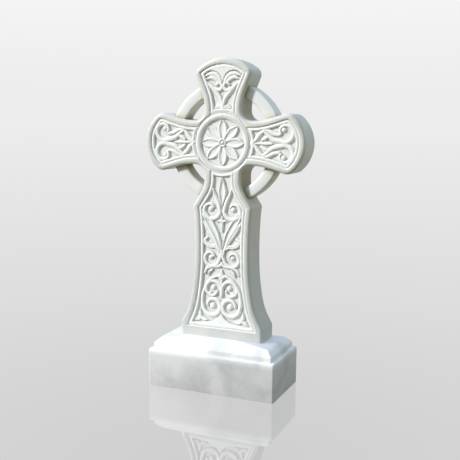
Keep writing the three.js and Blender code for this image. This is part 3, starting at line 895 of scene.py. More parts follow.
    def _boss(self, radius: np.ndarray) -> np.ndarray:
        """Rounded ring and button in the middle of the flower.

        Args:
            radius: Distance from the middle of the head.

        Returns:
            Depth below the face.
        """
        c = CUT
        crest = (c.boss + c.button + c.button_gap) / 2
        ring = c.boss_top + c.boss_fall * round_fall(np.abs(radius - crest) / (c.boss - crest))
        button = c.button_top + c.boss_fall * round_fall(radius / c.button)
        return np.where(radius < c.button + c.button_gap / 2, button, ring)


@dataclass
class ReliefMap:
    """Where the carving is hollow, sunk or bent, on a grid over its drawing: masks for painted
    shade in the hollows and painted light where it is sunk.
    """

    least_count: float = 1e-6
    cell: float = 1.25
    reach: int = 6
    fine: float = 0.7
    wide: float = 1.35
    full: float = 0.8
    ground_share: float = 0.3

    def learn(self, points: np.ndarray, depth: np.ndarray) -> None:
        """Fills the grids.

        Args:
            points: Points of the drawing.
            depth: The carving's depth at them.
        """
        self.low = points.min(0) - self.cell * self.reach
        cells = tuple(self._cells(points).T)
        total = np.zeros(tuple(np.max(cells, axis=1) + self.reach))
        count = np.zeros_like(total)
        np.add.at(total, cells, depth)
        np.add.at(count, cells, 1)
        level, around = (self._blurred(total, spread)
                         / np.maximum(self._blurred(count, spread), self.least_count)
                         for spread in (self.fine, self.wide))
        # Painted shade mask: how far each cell lies below its surroundings
        self.hollow = np.clip((level - around) / self.full, 0, 1)
        self.bend = self._blurred(np.abs(level - around), self.fine)
        # Painted light mask: paler where the carving is sunk below its face, less so in its deepest
        # ground
        down = np.clip((level - CUT.groove) / (CUT.field - CUT.groove), 0, 1)
        self.sunk = np.clip(level / CUT.relief, 0, 1) - self.ground_share * down

    def sample(self, grid: np.ndarray, points: np.ndarray) -> np.ndarray:
        """Values of one of the grids.

        Args:
            grid: The grid.
            points: Points of the drawing.

        Returns:
            One value for each point.
        """
        cells = np.clip(self._cells(points), 0, np.array(grid.shape) - 1)
        return grid[tuple(cells.T)]

    def _cells(self, points: np.ndarray) -> np.ndarray:
        """Row and column of the cell of each point."""
        return ((points - self.low) / self.cell).astype(int)

    def _blurred(self, grid: np.ndarray, spread: float) -> np.ndarray:
        """Smooths a grid in both directions.

        Args:
            grid: The grid.
            spread: Width of the smoothing, in cells.

        Returns:
            The smoothed grid, times a factor that is the same all over.
        """
        for axis in (0, 1):
            grid = sum(np.roll(grid, k, axis) * math.exp(-0.5 * (k / spread)**2)
                       for k in range(-self.reach, self.reach + 1))
        return grid


# Modelling helpers


def deselect() -> None:
    """Leaves nothing selected and no object active in edit mode."""
    if bpy.context.object and bpy.context.object.mode != "OBJECT":
        bpy.ops.object.mode_set(mode="OBJECT")
    bpy.ops.object.select_all(action="DESELECT")


def make_active(piece: bpy.types.Object) -> None:
    """Selects one object alone."""
    deselect()
    piece.select_set(True)
    bpy.context.view_layer.objects.active = piece


def new_piece(name: str, vertices: np.ndarray, faces: Sequence[Sequence[int]]
              ) -> bpy.types.Object:
    """Adds an object to the scene.

    Args:
        name: Its name.
        vertices: Its vertices, in metres.
        faces: Indices of the vertices of each face.

    Returns:
        The object.
    """
    mesh = bpy.data.meshes.new(name)
    mesh.from_pydata(vertices.tolist(), [], faces)
    mesh.update()
    piece = bpy.data.objects.new(name, mesh)
    bpy.context.scene.collection.objects.link(piece)
    return piece


def apply_modifier(piece: bpy.types.Object, kind: str, **settings: object) -> None:
    """Adds a modifier and applies it.

    Args:
        piece: The object.
        kind: Type of the modifier.
        **settings: Its settings by name.
    """
    make_active(piece)
    modifier = piece.modifiers.new(kind.title(), kind)
    for name, value in settings.items():
        setattr(modifier, name, value)
    bpy.ops.object.modifier_apply(modifier=modifier.name)


def apply_place(piece: bpy.types.Object) -> None:
    """Puts an object's place, turn and scale into its mesh."""
    make_active(piece)
    bpy.ops.object.transform_apply(location=True, rotation=True, scale=True)


def smooth_by_angle(piece: bpy.types.Object, degrees: float) -> None:
    """Smooth shading, with edges sharper than the angle left crisp."""
    make_active(piece)
    bpy.ops.object.shade_smooth_by_angle(angle=math.radians(degrees))


# Finishes


Value = Union[float, int, "Socket"]
Colour = tuple[float, float, float]


def grey(tone: float) -> Colour:
    """A colour without a hue."""
    return (tone, tone, tone)


@dataclass
class Socket:
    """A shader value that takes part in Python arithmetic."""

    tree: "Tree"
    socket: Optional[bpy.types.NodeSocket]

    def _math(self, operation: str, *values: Value) -> "Socket":
        """A Math node on one or two values."""
        return self.tree.node("ShaderNodeMath", {"operation": operation}, *values)

    def __add__(self, other: Value) -> "Socket":
        """Sum of two values."""
        return self._math("ADD", self, other)

    def __sub__(self, other: Value) -> "Socket":
        """Difference of two values."""
        return self._math("SUBTRACT", self, other)

    def __rsub__(self, other: Value) -> "Socket":
        """Difference from a number."""
        return self._math("SUBTRACT", other, self)

    def __mul__(self, other: Value) -> "Socket":
        """Product of two values."""
        return self._math("MULTIPLY", self, other)

    def __truediv__(self, other: Value) -> "Socket":
        """Quotient of two values."""
        return self._math("DIVIDE", self, other)

    def __rtruediv__(self, other: Value) -> "Socket":
        """Quotient of a number by a value."""
        return self._math("DIVIDE", other, self)

    __radd__ = __add__
    __rmul__ = __mul__

    def size(self) -> "Socket":
        """Value without its sign."""
        return self._math("ABSOLUTE", self)

    def ramp(self, low: float, high: float) -> "Socket":
        """Value that climbs smoothly from 0 at low to 1 at high."""
        return self.tree.node("ShaderNodeMapRange", {"interpolation_type": "SMOOTHSTEP"},
                              self, low, high, 0.0, 1.0)


class Tree:
    """Node tree of one material or world."""

    MIX_COLOURS = (6, 7)
    MIX_RESULT = 2

    def __init__(self, owner: Union[bpy.types.Material, bpy.types.World]) -> None:
        """Empties the owner's tree.

        Args:
            owner: Material or world that gets the nodes.
        """
        owner.use_nodes = True
        self.nodes = owner.node_tree.nodes
        self.links = owner.node_tree.links
        self.nodes.clear()

    def node(self, kind: str, settings: Optional[dict] = None, *inputs: object,
             output: Union[int, str] = 0, **named: object) -> Socket:
        """Adds a node.

        Args:
            kind: Type of the node.
            settings: Its settings, set before its inputs.
            *inputs: Values or links of its first inputs, in order.
            output: Which output is wanted.
            **named: Values or links of inputs by name, with _ for a space.

        Returns:
            The wanted output.
        """
        made = self.nodes.new(kind)
        for name, value in (settings or {}).items():
            if name == "stops":
                self._set_stops(made.color_ramp, value)
            else:
                setattr(made, name, value)
        for i, value in enumerate(inputs):
            self._feed(made.inputs[i], value)
        for name, value in named.items():
            self._feed(made.inputs[name.replace("_", " ")], value)
        return Socket(self, made.outputs[output] if made.outputs else None)

    def parts(self, vector: Socket) -> list[Socket]:
        """The x, y and z of a vector."""
        split = self.node("ShaderNodeSeparateXYZ", Vector=vector).socket.node
        return [Socket(self, output) for output in split.outputs]

    def noise(self, at: Socket, scale: float, detail: float = 3.0, roughness: float = 0.5,
              distortion: float = 0.0) -> Socket:
        """Fractal noise between 0 and 1."""
        return self.node("ShaderNodeTexNoise", Vector=at, Scale=scale, Detail=detail,
                         Roughness=roughness, Distortion=distortion)

    def mix(self, a: Union[Socket, Colour], b: Union[Socket, Colour], share: Value,
            blend: str = "MIX") -> Socket:
        """Blends two colours.

        Args:
            a: First colour.
            b: Second colour.
            share: How much of the second one comes in.
            blend: How the two are put together.

        Returns:
            The blend.
        """
        made = self.nodes.new("ShaderNodeMix")
        made.data_type, made.blend_type = "RGBA", blend
        self._feed(made.inputs["Factor"], share)
        for place, colour in zip(self.MIX_COLOURS, (a, b)):
            self._feed(made.inputs[place], colour)
        return Socket(self, made.outputs[self.MIX_RESULT])

    def _set_stops(self, ramp: bpy.types.ColorRamp, stops: Sequence[tuple[float, Colour]]
                   ) -> None:
        """Sets the stops of a colour ramp."""
        while len(ramp.elements) < len(stops):
            ramp.elements.new(1.0)
        for element, (place, colour) in zip(ramp.elements, stops):
            element.position = place
            element.color = (*colour, 1.0)

    def _feed(self, socket: bpy.types.NodeSocket, value: object) -> None:
        """Links a socket, or sets it to a constant."""
        if isinstance(value, Socket):
            self.links.new(value.socket, socket)
        elif isinstance(value, tuple) and socket.type == "RGBA":
            socket.default_value = (*value, 1.0)
        else:
            socket.default_value = value


@dataclass(frozen=True)
class Marble:
    """Honed white marble with soft grey clouds and faint veins, with painted shade in its hollows
    and low down, and painted light where it is sunk.
    """

    name: str
    body: Colour = (0.72, 0.72, 0.705)
    cloud: Colour = (0.63, 0.64, 0.645)
    vein: Colour = (0.60, 0.60, 0.55)
    # Painted shade colour, for the carving's hollows and the ring's gaps
    hollow: Colour = (0.37, 0.32, 0.17)
    # Painted light colour, where the carving is sunk and on the ring
    sunk: Colour = (0.94, 0.955, 0.98)
    cloud_share: float = 0.5
    vein_share: float = 0.3
    hollow_shade_share: float = 0.5
    sunk_light_share: float = 0.85
    cloud_scale: float = 7.0
    cloud_edges: Pair = (0.36, 0.66)
    wisp_ratio: float = 1.7
    vein_sharpness: float = 9.0
    # Painted shade: the colour is duller below the height low_from
    low_shade_tone: Colour = (1.0, 1.0, 1.0)
    low_from: float = 0.0
    low_reach: float = 0.03
    roughness: float = 0.36
    roughness_range: float = 0.12
    roughness_scale: float = 60.0
    grain_scale: float = 420.0
    grain_share: float = 0.4
    wave_scale: float = 38.0
    bump: float = 0.1
    bump_height: float = 0.001
    translucency: float = 0.25
    scatter: Colour = (1.0, 0.95, 0.85)
    scatter_reach: float = 0.005
    refraction: float = 1.5
    turn: tuple[float, float, float] = (0.3, 0.5, 0.4)
    seed: float = 0.0
    seed_shift: tuple[float, float, float] = (1.0, 0.7, 1.3)

    def make(self) -> bpy.types.Material:
        """Builds the material.

        Returns:
            The material with all its nodes.
        """
        material = bpy.data.materials.new(self.name)
        tree = Tree(material)
        place = tree.node("ShaderNodeTexCoord", output="Object")
        at = tree.node("ShaderNodeMapping", Vector=place, Rotation=self.turn,
                       Location=tuple(self.seed * step for step in self.seed_shift))
        colour = self._paint_light_and_shade(tree, self._paint_low_shade(tree, place, self._colour(tree, at)))
        grain = tree.noise(at, self.grain_scale, roughness=0.6) * self.grain_share
        waves = tree.noise(at, self.wave_scale)
        uneven = tree.noise(at, self.roughness_scale, detail=2.0) * self.roughness_range
        bump = tree.node("ShaderNodeBump", Strength=self.bump, Distance=self.bump_height,
                         Height=grain + waves)
        shader = tree.node("ShaderNodeBsdfPrincipled", Base_Color=colour, Normal=bump,
                           Roughness=uneven + (self.roughness - self.roughness_range / 2),
                           IOR=self.refraction, Subsurface_Weight=self.translucency,
                           Subsurface_Radius=self.scatter, Subsurface_Scale=self.scatter_reach)
        tree.node("ShaderNodeOutputMaterial", Surface=shader)
        return material

    def _colour(self, tree: Tree, at: Socket) -> Socket:
        """Body colour with its clouds and veins.

        Args:
            tree: Where the nodes go.
            at: Place in the stone.

        Returns:
            The colour.
        """
        clouds = tree.noise(at, self.cloud_scale, distortion=0.8).ramp(*self.cloud_edges)
        wisps = tree.noise(at, self.cloud_scale * self.wisp_ratio, detail=5.0, roughness=0.55,
                           distortion=1.2)
        veins = 1 - ((wisps - 0.5).size() * self.vein_sharpness).ramp(0.0, 1.0)
        colour = tree.mix(self.body, self.cloud, clouds * self.cloud_share)
        return tree.mix(colour, self.vein, veins * clouds * self.vein_share)

    def _paint_low_shade(self, tree: Tree, place: Socket, colour: Socket) -> Socket:
        """Paints shade: makes a colour duller below a height."""
        low = 1 - tree.parts(place)[2].ramp(self.low_from - self.low_reach, self.low_from)
        return tree.mix(colour, self.low_shade_tone, low, "MULTIPLY")

    def _paint_light_and_shade(self, tree: Tree, colour: Socket) -> Socket:
        """Paints light and shade: a paler colour where the carving is sunk and on the ring, and
        painted shade in its hollows and the ring's gaps.

        Args:
            tree: Where the nodes go.
            colour: The colour.

        Returns:
            The changed colour.
        """
        for name, tone, share in ((SUNK_LIGHT, self.sunk, self.sunk_light_share),
                                  (HOLLOW_SHADE, self.hollow, self.hollow_shade_share)):
            amount = tree.node("ShaderNodeAttribute", {"attribute_name": name}, output="Fac")
            colour = tree.mix(colour, tone, amount * share)
        return colour


# Both low tones are painted shade: the base's die is duller than its top, and the cross is duller
# towards its foot
BASE_MARBLE = Marble("base_marble_finish", body=(0.93, 0.92, 0.95), vein=(0.64, 0.61, 0.55),
                     cloud=(0.67, 0.69, 0.72), cloud_share=0.75, cloud_scale=6.5,
                     roughness=0.5, seed=3.1, low_shade_tone=grey(0.68), low_from=0.140)
CROSS_MARBLE = Marble("cross_marble_finish", low_shade_tone=(0.81, 0.82, 0.82), low_from=0.80,
                      low_reach=0.62)


def dress(piece: bpy.types.Object, finish: Marble) -> None:
    """Gives a piece one finish all over."""
    piece.data.materials.clear()
    piece.data.materials.append(finish.make())


# Pieces


@dataclass
class CarvedCross:
    """The cross: a carved slab united with its ring."""

    INSIDE = 1
    MERGE = 1e-4
    fineness: float = 1.6
    quick_fineness: float = 2.4
    coarser: tuple[int, ...] = (2, 4)
    first_row: float = 0.6
    busy: float = 0.75
    plain: float = 0.1
    edge_fineness: float = 2.2
    shortest_edge: float = 0.2
    back_fineness: float = 14.0
    front_gap: float = 0.9
    back_gap: float = 4.0
    row_clear: float = 0.92
    foot_clear: float = 0.5
    crisp_angle: float = 48.0
    # Painted shade in the ring's gaps, stronger below the middle of the head, and painted light on
    # the ring
    shade_reach: float = 28.0
    shade_below: float = 1.8
    shade_above: float = 1.3
    ring_painted_light: float = 0.7
    front_rows: tuple[float, ...] = (0.25, 0.8, 1.7, 2.9, 4.6, 6.8, 9.4)
    back_rows: tuple[float, ...] = (0.3, 1.2, 2.6, 4.6, 8.0)
    wall_shares: tuple[float, ...] = (0.03, 0.35, 0.67, 0.97)
    finish: Marble = CROSS_MARBLE
    drawing: CrossDrawing = field(default_factory=CrossDrawing)
    relief: ReliefMap = field(default_factory=ReliefMap)

    def build(self) -> bpy.types.Object:
        """Models the cross and makes it stand for its solid.

        Returns:
            The dressed cross.
        """
        slab = self._slab(self._spaced_outline(), CarvedFace(self.drawing))
        LOG.info("carved slab: %d faces", len(slab.data.polygons))
        ring = HeadRing().build()
        apply_modifier(slab, "BOOLEAN", operation="UNION", solver="MANIFOLD", object=ring)
        bpy.data.objects.remove(ring)
        smooth_by_angle(slab, self.crisp_angle)
        self._store_painted_light_and_shade(slab)
        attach(slab, "root")
        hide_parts("celtic_cross")
        dress(slab, self.finish)
        return slab

    def _store_painted_light_and_shade(self, slab: bpy.types.Object) -> None:
        """Stores on each vertex how much painted shade it gets in a hollow or a gap, and how much
        painted light where it is sunk or on the ring.
        """
        mesh = slab.data
        place = np.empty(len(mesh.vertices) * 3)
        mesh.vertices.foreach_get("co", place)
        place = place.reshape(-1, 3) / MM
        drawn = place[:, (0, 2)] - (0, CROSS.foot_z)
        carved = place[:, 1] < CROSS.front_y + CUT.field + TOUCH
        shade, ring_light = self._gap_shade_and_ring_light(drawn, ~carved)
        # Painted shade and painted light, one value per vertex for the finish
        for name, grid, more in ((HOLLOW_SHADE, self.relief.hollow, shade),
                                 (SUNK_LIGHT, self.relief.sunk, ring_light)):
            value = self.relief.sample(grid, drawn) * carved + more
            mesh.attributes.new(name, "FLOAT", "POINT").data.foreach_set("value", value)

    def _gap_shade_and_ring_light(self, drawn: np.ndarray, plain: np.ndarray) -> tuple[np.ndarray, np.ndarray]:
        """Painted shade in the ring's gaps, and painted light on the ring.

        Args:
            drawn: Places of the vertices on the drawing.
            plain: Which of them lie off the carved face.

        Returns:
            One painted shade and one painted light for each vertex.
        """
        shade, ring_light = np.zeros(len(drawn)), np.zeros(len(drawn))
        radius = np.hypot(drawn[:, 0], drawn[:, 1] - CROSS.head)
        head = np.flatnonzero(plain & (radius < HeadRing.outer + TOUCH))
        outline = Line(self.drawing.outline())
        distance, _ = outline.nearest(drawn[head])
        weight = np.where(drawn[head, 1] < CROSS.head, self.shade_below, self.shade_above)
        shade[head] = weight * np.clip(1 - distance / self.shade_reach, 0, 1)**2
        outside = ~outline.inside(drawn[head])
        ring_light[head] = self.ring_painted_light * (outside & (distance > TOUCH))
        return shade, ring_light

    def _spaced_outline(self) -> np.ndarray:
        """The outline with its long stretches divided to an even fineness.

        Returns:
            Its points.
        """
        given = self.drawing.outline()
        points = []
        for a, b in zip(given, np.roll(given, -1, axis=0)):
            length = np.linalg.norm(b - a)
            if length < self.shortest_edge:
                continue
            steps = max(1, round(length / self.edge_fineness))
            points.extend(a + (b - a) * k / steps for k in range(steps))
        return np.array(points)

    def _rows(self, outline: np.ndarray, edge: Line, rows: Sequence[float]) -> np.ndarray:
        """Points in rows inside the outline, where its round edge needs them.

        Args:
            outline: Closed outline.
            edge: The same line, open at the foot.
            rows: Distances of the rows from it.

        Returns:
            The points of all the rows.
        """
        left = left_of(np.roll(outline, -1, axis=0) - np.roll(outline, 1, axis=0))
        above = outline[:, 1] > 0
        found = []
        for row in rows:
            points = outline[above] + left[above] * row
            distance, _ = edge.nearest(points)
            clear = (distance > self.row_clear * row) & (points[:, 1] > self.foot_clear)
            found.append(points[clear])
        return np.concatenate(found)

    def _grid(self, face: CarvedFace, spacing: float, margin: float
              ) -> tuple[np.ndarray, np.ndarray]:
        """Points of a triangular grid inside the outline.

        Args:
            face: Where the outline comes from.
            spacing: Side of the triangles.
            margin: How far inside the outline they lie at least.

        Returns:
            The points, and for each one how coarse a grid it belongs to: 0, 1 or 2.
        """
        low, high = face.loop.points.min(0), face.loop.points.max(0)
        rows = np.arange(low[1] + spacing * self.first_row, high[1], spacing * math.sqrt(3) / 2)
        found, ranks = [], []
        for k, y in enumerate(rows):
            x = np.arange(spacing / 2 + (k % 2) * spacing / 2, high[0], spacing)
            column = np.arange(len(x)) + k // 2
            rank = sum((k % step == 0) & (column % step == 0) for step in self.coarser)
            found.append(np.stack([np.concatenate([-x[::-1], x]), np.full(2 * len(x), y)], 1))
            ranks.append(np.concatenate([rank[::-1], rank]))
        points, ranks = np.concatenate(found), np.concatenate(ranks)
        keep = face.loop.inside(points)
        points, ranks = points[keep], ranks[keep]
        clear = face.edge.nearest(points)[0] > margin
        return points[clear], ranks[clear]

    def _fitted_grid(self, face: CarvedFace, margin: float) -> tuple[np.ndarray, np.ndarray]:
        """Grid points, close where the carving is busy and wide apart where it is plain.

        Args:
            face: Where the depths come from.
            margin: How far inside the outline they lie at least.

        Returns:
            The points and the carving's depth at them.
        """
        spacing = self.fineness
        points, ranks = self._grid(face, spacing, margin)
        depth = face.relief(points)
        self.relief.learn(points, depth)
        bend = self.relief.sample(self.relief.bend, points)
        keep = (bend > self.busy) | (ranks > 0) & (bend > self.plain) | (ranks > 1)
        return points[keep], depth[keep]

    def _sheet(self, outline: np.ndarray, inner: np.ndarray
               ) -> tuple[np.ndarray, np.ndarray]:
        """Triangles over the outline and inner points.

        Args:
            outline: Closed outline, whose points come first in the result.
            inner: Points inside it.

        Returns:
            All the points, and three indices for each triangle.
        """
        n = len(outline)
        points = np.concatenate([outline, inner])
        edges = [(i, (i + 1) % n) for i in range(n)]
        given = [Vector(p) for p in points.tolist()]
        _, _, faces, origins, _, _ = delaunay_2d_cdt(given, edges, [], self.INSIDE, self.MERGE)
        index = np.array([source[0] for source in origins])
        return points, index[np.array(faces)]

    def _front(self, outline: np.ndarray, face: CarvedFace) -> tuple[np.ndarray, np.ndarray]:
        """Carved front with its rounded edge.

        Args:
            outline: Closed outline, whose points come first in the result.
            face: Where the depths come from.

        Returns:
            Points with their depths, and three indices for each triangle.
        """
        middle, carved = self._fitted_grid(face, self.front_rows[-1] + self.front_gap)
        rows = self._rows(outline, face.edge, self.front_rows)
        flat, faces = self._sheet(outline, np.concatenate([rows, middle]))
        carved = np.concatenate([np.zeros(len(outline) + len(rows)), carved])
        return np.column_stack([flat, np.maximum(carved, face.rounding(flat))]), faces

    def _back(self, outline: np.ndarray, face: CarvedFace) -> tuple[np.ndarray, np.ndarray]:
        """Plain back with its rounded edge.

        Args:
            outline: Closed outline, whose points come first in the result.
            face: Where the edge comes from.

        Returns:
            Points with their depths, and three indices for each triangle.
        """
        middle, _ = self._grid(face, self.back_fineness, self.back_rows[-1] + self.back_gap)
        rows = self._rows(outline, face.edge, self.back_rows)
        flat, faces = self._sheet(outline, np.concatenate([rows, middle]))
        distance, _ = face.edge.nearest(flat)
        fall = CROSS.back_round * round_fall(1 - distance / CROSS.back_round)
        return np.column_stack([flat, CROSS.thickness - fall]), faces[:, ::-1]

    def _slab(self, outline: np.ndarray, face: CarvedFace) -> bpy.types.Object:
        """Closed slab: carved front, walls and a plain back.

        Args:
            outline: Closed outline.
            face: Where the front's depths come from.

        Returns:
            The slab, in its place.
        """
        n = len(outline)
        front, front_faces = self._front(outline, face)
        back, back_faces = self._back(outline, face)
        walls = [front[:n] + (back[:n] - front[:n]) * share for share in self.wall_shares]
        parts = [front, *walls, back]
        starts = np.cumsum([0] + [len(part) for part in parts[:-1]])
        i = np.arange(n)
        j = (i + 1) % n
        faces = [front_faces, back_faces + starts[-1]]
        for a, b in zip(starts, starts[1:]):
            faces.append(np.stack([a + i, b + i, b + j], 1))
            faces.append(np.stack([a + i, b + j, a + j], 1))
        across, up, deep = np.concatenate(parts).T
        placed = np.stack([across, CROSS.front_y + deep, CROSS.foot_z + up], 1)
        return new_piece("carved_cross", placed * MM, np.concatenate(faces).tolist())


@dataclass
class HeadRing:
    """Ring behind the arms, spun from its section."""

    outer: float = 215.0
    inner: float = 172.0
    thickness: float = 62.0
    chamfer: float = 7.0
    chamfer_steps: int = 3
    sides: int = 168
    merge: float = 0.01

    def build(self) -> bpy.types.Object:
        """Spins the section round the centre of the head.

        Returns:
            The ring, in its place.
        """
        c = CROSS
        middle = Vector((0, c.front_y + c.thickness / 2, c.foot_z + c.head)) * MM
        deselect()
        bpy.ops.mesh.primitive_plane_add(
            size=1, location=middle + Vector(((self.outer + self.inner) / 2 * MM, 0, 0)))
        ring = bpy.context.object
        ring.name = "head_ring"
        ring.scale = ((self.outer - self.inner) * MM, self.thickness * MM, 1)
        apply_place(ring)
        bpy.ops.object.mode_set(mode="EDIT")
        bpy.ops.mesh.select_all(action="SELECT")
        bpy.ops.mesh.bevel(offset=self.chamfer * MM, segments=self.chamfer_steps,
                           affect="VERTICES")
        bpy.ops.mesh.select_all(action="SELECT")
        bpy.ops.mesh.delete(type="ONLY_FACE")
        bpy.ops.mesh.select_all(action="SELECT")
        bpy.ops.mesh.spin(steps=self.sides, angle=2 * math.pi, center=middle, axis=(0, 1, 0))
        bpy.ops.mesh.select_all(action="SELECT")
        bpy.ops.mesh.remove_doubles(threshold=self.merge * MM)
        bpy.ops.mesh.normals_make_consistent(inside=False)
        bpy.ops.object.mode_set(mode="OBJECT")
        return ring


@dataclass
class BaseBlock:
    """Moulded block: a plain die, a ledge, an upright step and a weathered top."""

    width: float = 480.0
    depth: float = 254.0
    die: float = 136.0
    ledge: float = 14.0
    step: float = 18.0
    slope_run: float = 22.0
    slope_rise: float = 20.0
    arris: float = 6.0
    step_arris: float = 3.6
    arris_steps: int = 4
    crisp_angle: float = 40.0
    finish: Marble = BASE_MARBLE

    def build(self) -> bpy.types.Object:
        """Models the block and makes it stand for its solid.

        Returns:
            The dressed block.
        """
        deselect()
        bpy.ops.mesh.primitive_cube_add(size=1, location=(0, 0, self.die * MM / 2))
        block = bpy.context.object
        block.name = "moulded_base"
        block.scale = (self.width * MM, self.depth * MM, self.die * MM)
        apply_place(block)
        self._select_top(block)
        bpy.ops.mesh.inset(thickness=self.ledge * MM)
        bpy.ops.mesh.extrude_region_move(
            TRANSFORM_OT_translate={"value": (0, 0, self.step * MM)})
        bpy.ops.mesh.inset(thickness=self.slope_run * MM, depth=0)
        bpy.ops.transform.translate(value=(0, 0, self.slope_rise * MM))
        self._soften(block)
        smooth_by_angle(block, self.crisp_angle)
        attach(block, "root")
        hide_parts("base_block")
        dress(block, self.finish)
        return block

    def _select_top(self, block: bpy.types.Object) -> None:
        """Goes into edit mode with the highest face alone selected."""
        make_active(block)
        bpy.ops.object.mode_set(mode="EDIT")
        bpy.ops.mesh.select_all(action="DESELECT")
        bpy.ops.object.mode_set(mode="OBJECT")
        top = max(block.data.polygons, key=lambda face: face.center.z)
        top.select = True
        bpy.ops.object.mode_set(mode="EDIT")
        bpy.ops.mesh.select_mode(type="FACE")

    def _soften(self, block: bpy.types.Object) -> None:
        """Rounds the outer edges, a little less on the step than on the die."""
        for radius, wanted in ((self.arris, self._on_die), (self.step_arris, self._on_step)):
            bpy.ops.object.mode_set(mode="OBJECT")
            mesh = block.data
            for part in (*mesh.vertices, *mesh.polygons):
                part.select = False
            for edge in mesh.edges:
                edge.select = wanted([mesh.vertices[k].co / MM for k in edge.vertices])
            bpy.ops.object.mode_set(mode="EDIT")
            bpy.ops.mesh.select_mode(type="EDGE")
            bpy.ops.mesh.bevel(offset=radius * MM, segments=self.arris_steps, affect="EDGES")
        bpy.ops.object.mode_set(mode="OBJECT")

    def _on_die(self, ends: Sequence[Vector]) -> bool:
        """Tells an outer edge of the die, apart from those on the floor.

        Args:
            ends: Both ends of the edge, in millimetres.

        Returns:
            True if it is one.
        """
        low, high = sorted(end.z for end in ends)
        inner = self.width / 2 - self.ledge + TOUCH
        meets_step = low > self.die - TOUCH and max(abs(end.x) for end in ends) < inner
        return TOUCH < high < self.die + TOUCH and not meets_step

    def _on_step(self, ends: Sequence[Vector]) -> bool:
        """Tells an outer edge of the step or the slope, apart from those of the seat.

        Args:
            ends: Both ends of the edge, in millimetres.

        Returns:
            True if it is one.
        """
        low, high = sorted(end.z for end in ends)
        step_top = self.die + self.step
        upright = high - low > self.step / 2 and abs(high - step_top) < TOUCH
        return upright or self.die + TOUCH < low < step_top + self.slope_rise - TOUCH


# Studio


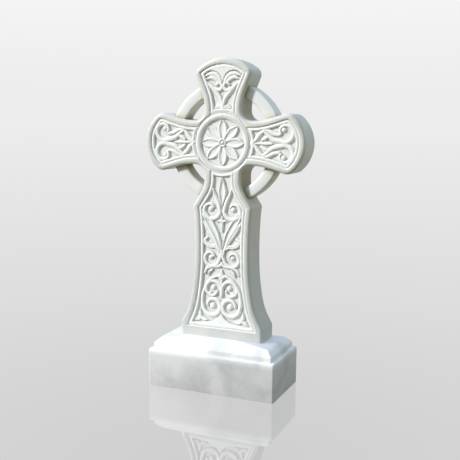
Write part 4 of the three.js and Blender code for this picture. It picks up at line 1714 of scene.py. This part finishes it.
@dataclass(frozen=True)
class Studio:
    """Camera, light, backdrop and the polished floor."""

    lens: float = 59.914
    sensor: float = 36.0
    yaw: float = 23.0736
    pitch: float = 8.1141
    roll: float = 0.5100
    eye: tuple[float, float, float] = (1.0779, -2.4788, 0.9509)
    sun_from: tuple[float, float, float] = (-0.73, -0.53, 0.43)
    sun_strength: float = 3.7
    sun_spread: float = 5.0
    sun_colour: Colour = (1.0, 0.97, 0.91)
    sky: Colour = (0.59, 0.77, 1.0)
    sky_edges: Pair = (0.12, 0.75)
    skyline: Colour = (0.30, 0.30, 0.24)
    hedge: Colour = (0.37, 0.35, 0.09)
    hedge_edges: Pair = (0.0, 0.7)
    backdrop_tones: Pair = (0.84, 0.93)
    backdrop_edges: Pair = (0.0, 0.22)
    mirrored_tone: float = 0.665
    floor_size: float = 400.0
    floor_drop: float = 0.0004
    floor_tones: tuple[Pair, ...] = ((0.0, 0.605), (0.12, 0.65), (0.3, 0.737), (0.55, 0.815),
                                     (0.8, 0.865), (1.0, 0.905))
    floor_middle: tuple[float, float, float] = (0.27, -0.64, 0.0)
    floor_fade: float = 5.0
    gloss: float = 0.24
    gloss_roughness: float = 0.02
    turf_size: float = 60.0
    turf_drop: float = 0.0008
    turf: Colour = (0.12, 0.115, 0.06)

    def build(self) -> None:
        """Sets up everything round the stone."""
        self._camera()
        self._sun()
        self._world()
        self._floor()
        self._turf()
        bpy.context.scene.view_settings.view_transform = "Standard"

    def _camera(self) -> None:
        """Camera at its place in front of the stone, turned and tilted."""
        data = bpy.data.cameras.new("camera")
        data.lens, data.sensor_width, data.sensor_fit = self.lens, self.sensor, "HORIZONTAL"
        camera = bpy.data.objects.new("camera", data)
        turn = (Matrix.Rotation(math.radians(self.yaw), 4, "Z")
                @ Matrix.Rotation(math.radians(90 - self.pitch), 4, "X")
                @ Matrix.Rotation(math.radians(self.roll), 4, "Z"))
        camera.matrix_world = Matrix.Translation(self.eye) @ turn
        bpy.context.scene.collection.objects.link(camera)
        bpy.context.scene.camera = camera

    def _sun(self) -> None:
        """Soft key light from the upper left, in front of the stone."""
        data = bpy.data.lights.new("key", "SUN")
        data.energy = self.sun_strength
        data.angle = math.radians(self.sun_spread)
        data.color = self.sun_colour
        sun = bpy.data.objects.new("key", data)
        sun.rotation_euler = Vector(self.sun_from).to_track_quat("Z", "Y").to_euler()
        bpy.context.scene.collection.objects.link(sun)

    def _world(self) -> None:
        """Pale backdrop for the camera, and a blue sky over a dull skyline that light the stone."""
        world = bpy.data.worlds.new("studio")
        bpy.context.scene.world = world
        tree = Tree(world)
        right, _, height = tree.parts(tree.node("ShaderNodeTexCoord", output="Generated"))
        horizon = tree.mix(self.skyline, self.hedge, right.ramp(*self.hedge_edges))
        light = tree.mix(horizon, self.sky, height.ramp(*self.sky_edges))
        backdrop = tree.mix(*map(grey, self.backdrop_tones), height.ramp(*self.backdrop_edges))
        seen, mirrored_ray = (tree.node("ShaderNodeLightPath", output=f"Is {kind} Ray")
                              for kind in ("Camera", "Glossy"))
        colour = tree.mix(light, backdrop, seen)
        colour = tree.mix(colour, grey(self.mirrored_tone), mirrored_ray)
        shader = tree.node("ShaderNodeBackground", Color=colour, Strength=1.0)
        tree.node("ShaderNodeOutputWorld", Surface=shader)

    def _turf(self) -> None:
        """Dull ground, out of sight, that darkens the light that the stone gets from below."""
        turf, tree = self._ground("studio_turf", "turf", self.turf_size, self.turf_drop)
        shader = tree.node("ShaderNodeBsdfDiffuse", Color=self.turf)
        tree.node("ShaderNodeOutputMaterial", Surface=shader)
        turf.visible_camera = turf.visible_glossy = turf.visible_shadow = False

    def _floor(self) -> None:
        """Pale floor that mirrors the stone faintly and takes no shadow."""
        floor, tree = self._ground("studio_floor", "polished_floor", self.floor_size,
                                   self.floor_drop)
        place = tree.node("ShaderNodeTexCoord", output="Object")
        away = tree.node("ShaderNodeVectorMath", {"operation": "SUBTRACT"}, place,
                         self.floor_middle)
        reach = tree.node("ShaderNodeVectorMath", {"operation": "LENGTH"}, away, output="Value")
        stops = [(share, grey(tone)) for share, tone in self.floor_tones]
        tone = tree.node("ShaderNodeValToRGB", {"stops": stops}, reach / (reach + self.floor_fade))
        glow = tree.node("ShaderNodeEmission", Color=tone, Strength=1.0)
        mirror = tree.node("ShaderNodeBsdfGlossy", Color=grey(1.0),
                           Roughness=self.gloss_roughness)
        mixed = tree.node("ShaderNodeMixShader", None, self.gloss, glow, mirror)
        tree.node("ShaderNodeOutputMaterial", Surface=mixed)
        floor.visible_diffuse = floor.visible_shadow = False

    def _ground(self, name: str, finish: str, size: float, drop: float
                ) -> tuple[bpy.types.Object, Tree]:
        """A level plane under the stone.

        Args:
            name: Its name.
            finish: Name of its material.
            size: Length of its sides, in metres.
            drop: How far it lies below the stone.

        Returns:
            The plane, and the empty node tree of its material.
        """
        deselect()
        bpy.ops.mesh.primitive_plane_add(size=size, location=(0, 0, -drop))
        plane = bpy.context.object
        plane.name = name
        apply_place(plane)
        material = bpy.data.materials.new(finish)
        plane.data.materials.append(material)
        return plane, Tree(material)


def main() -> None:
    """Builds the stone and the studio."""
    logging.basicConfig(level=logging.INFO, format="%(name)s: %(message)s")
    for maker in (BaseBlock(), CarvedCross()):
        piece = maker.build()
        LOG.info("%s: %d faces", piece.name, len(piece.data.polygons))
    Studio().build()
    LOG.info("studio: camera, key light, backdrop and floor")


if __name__ == "__main__":
    main()
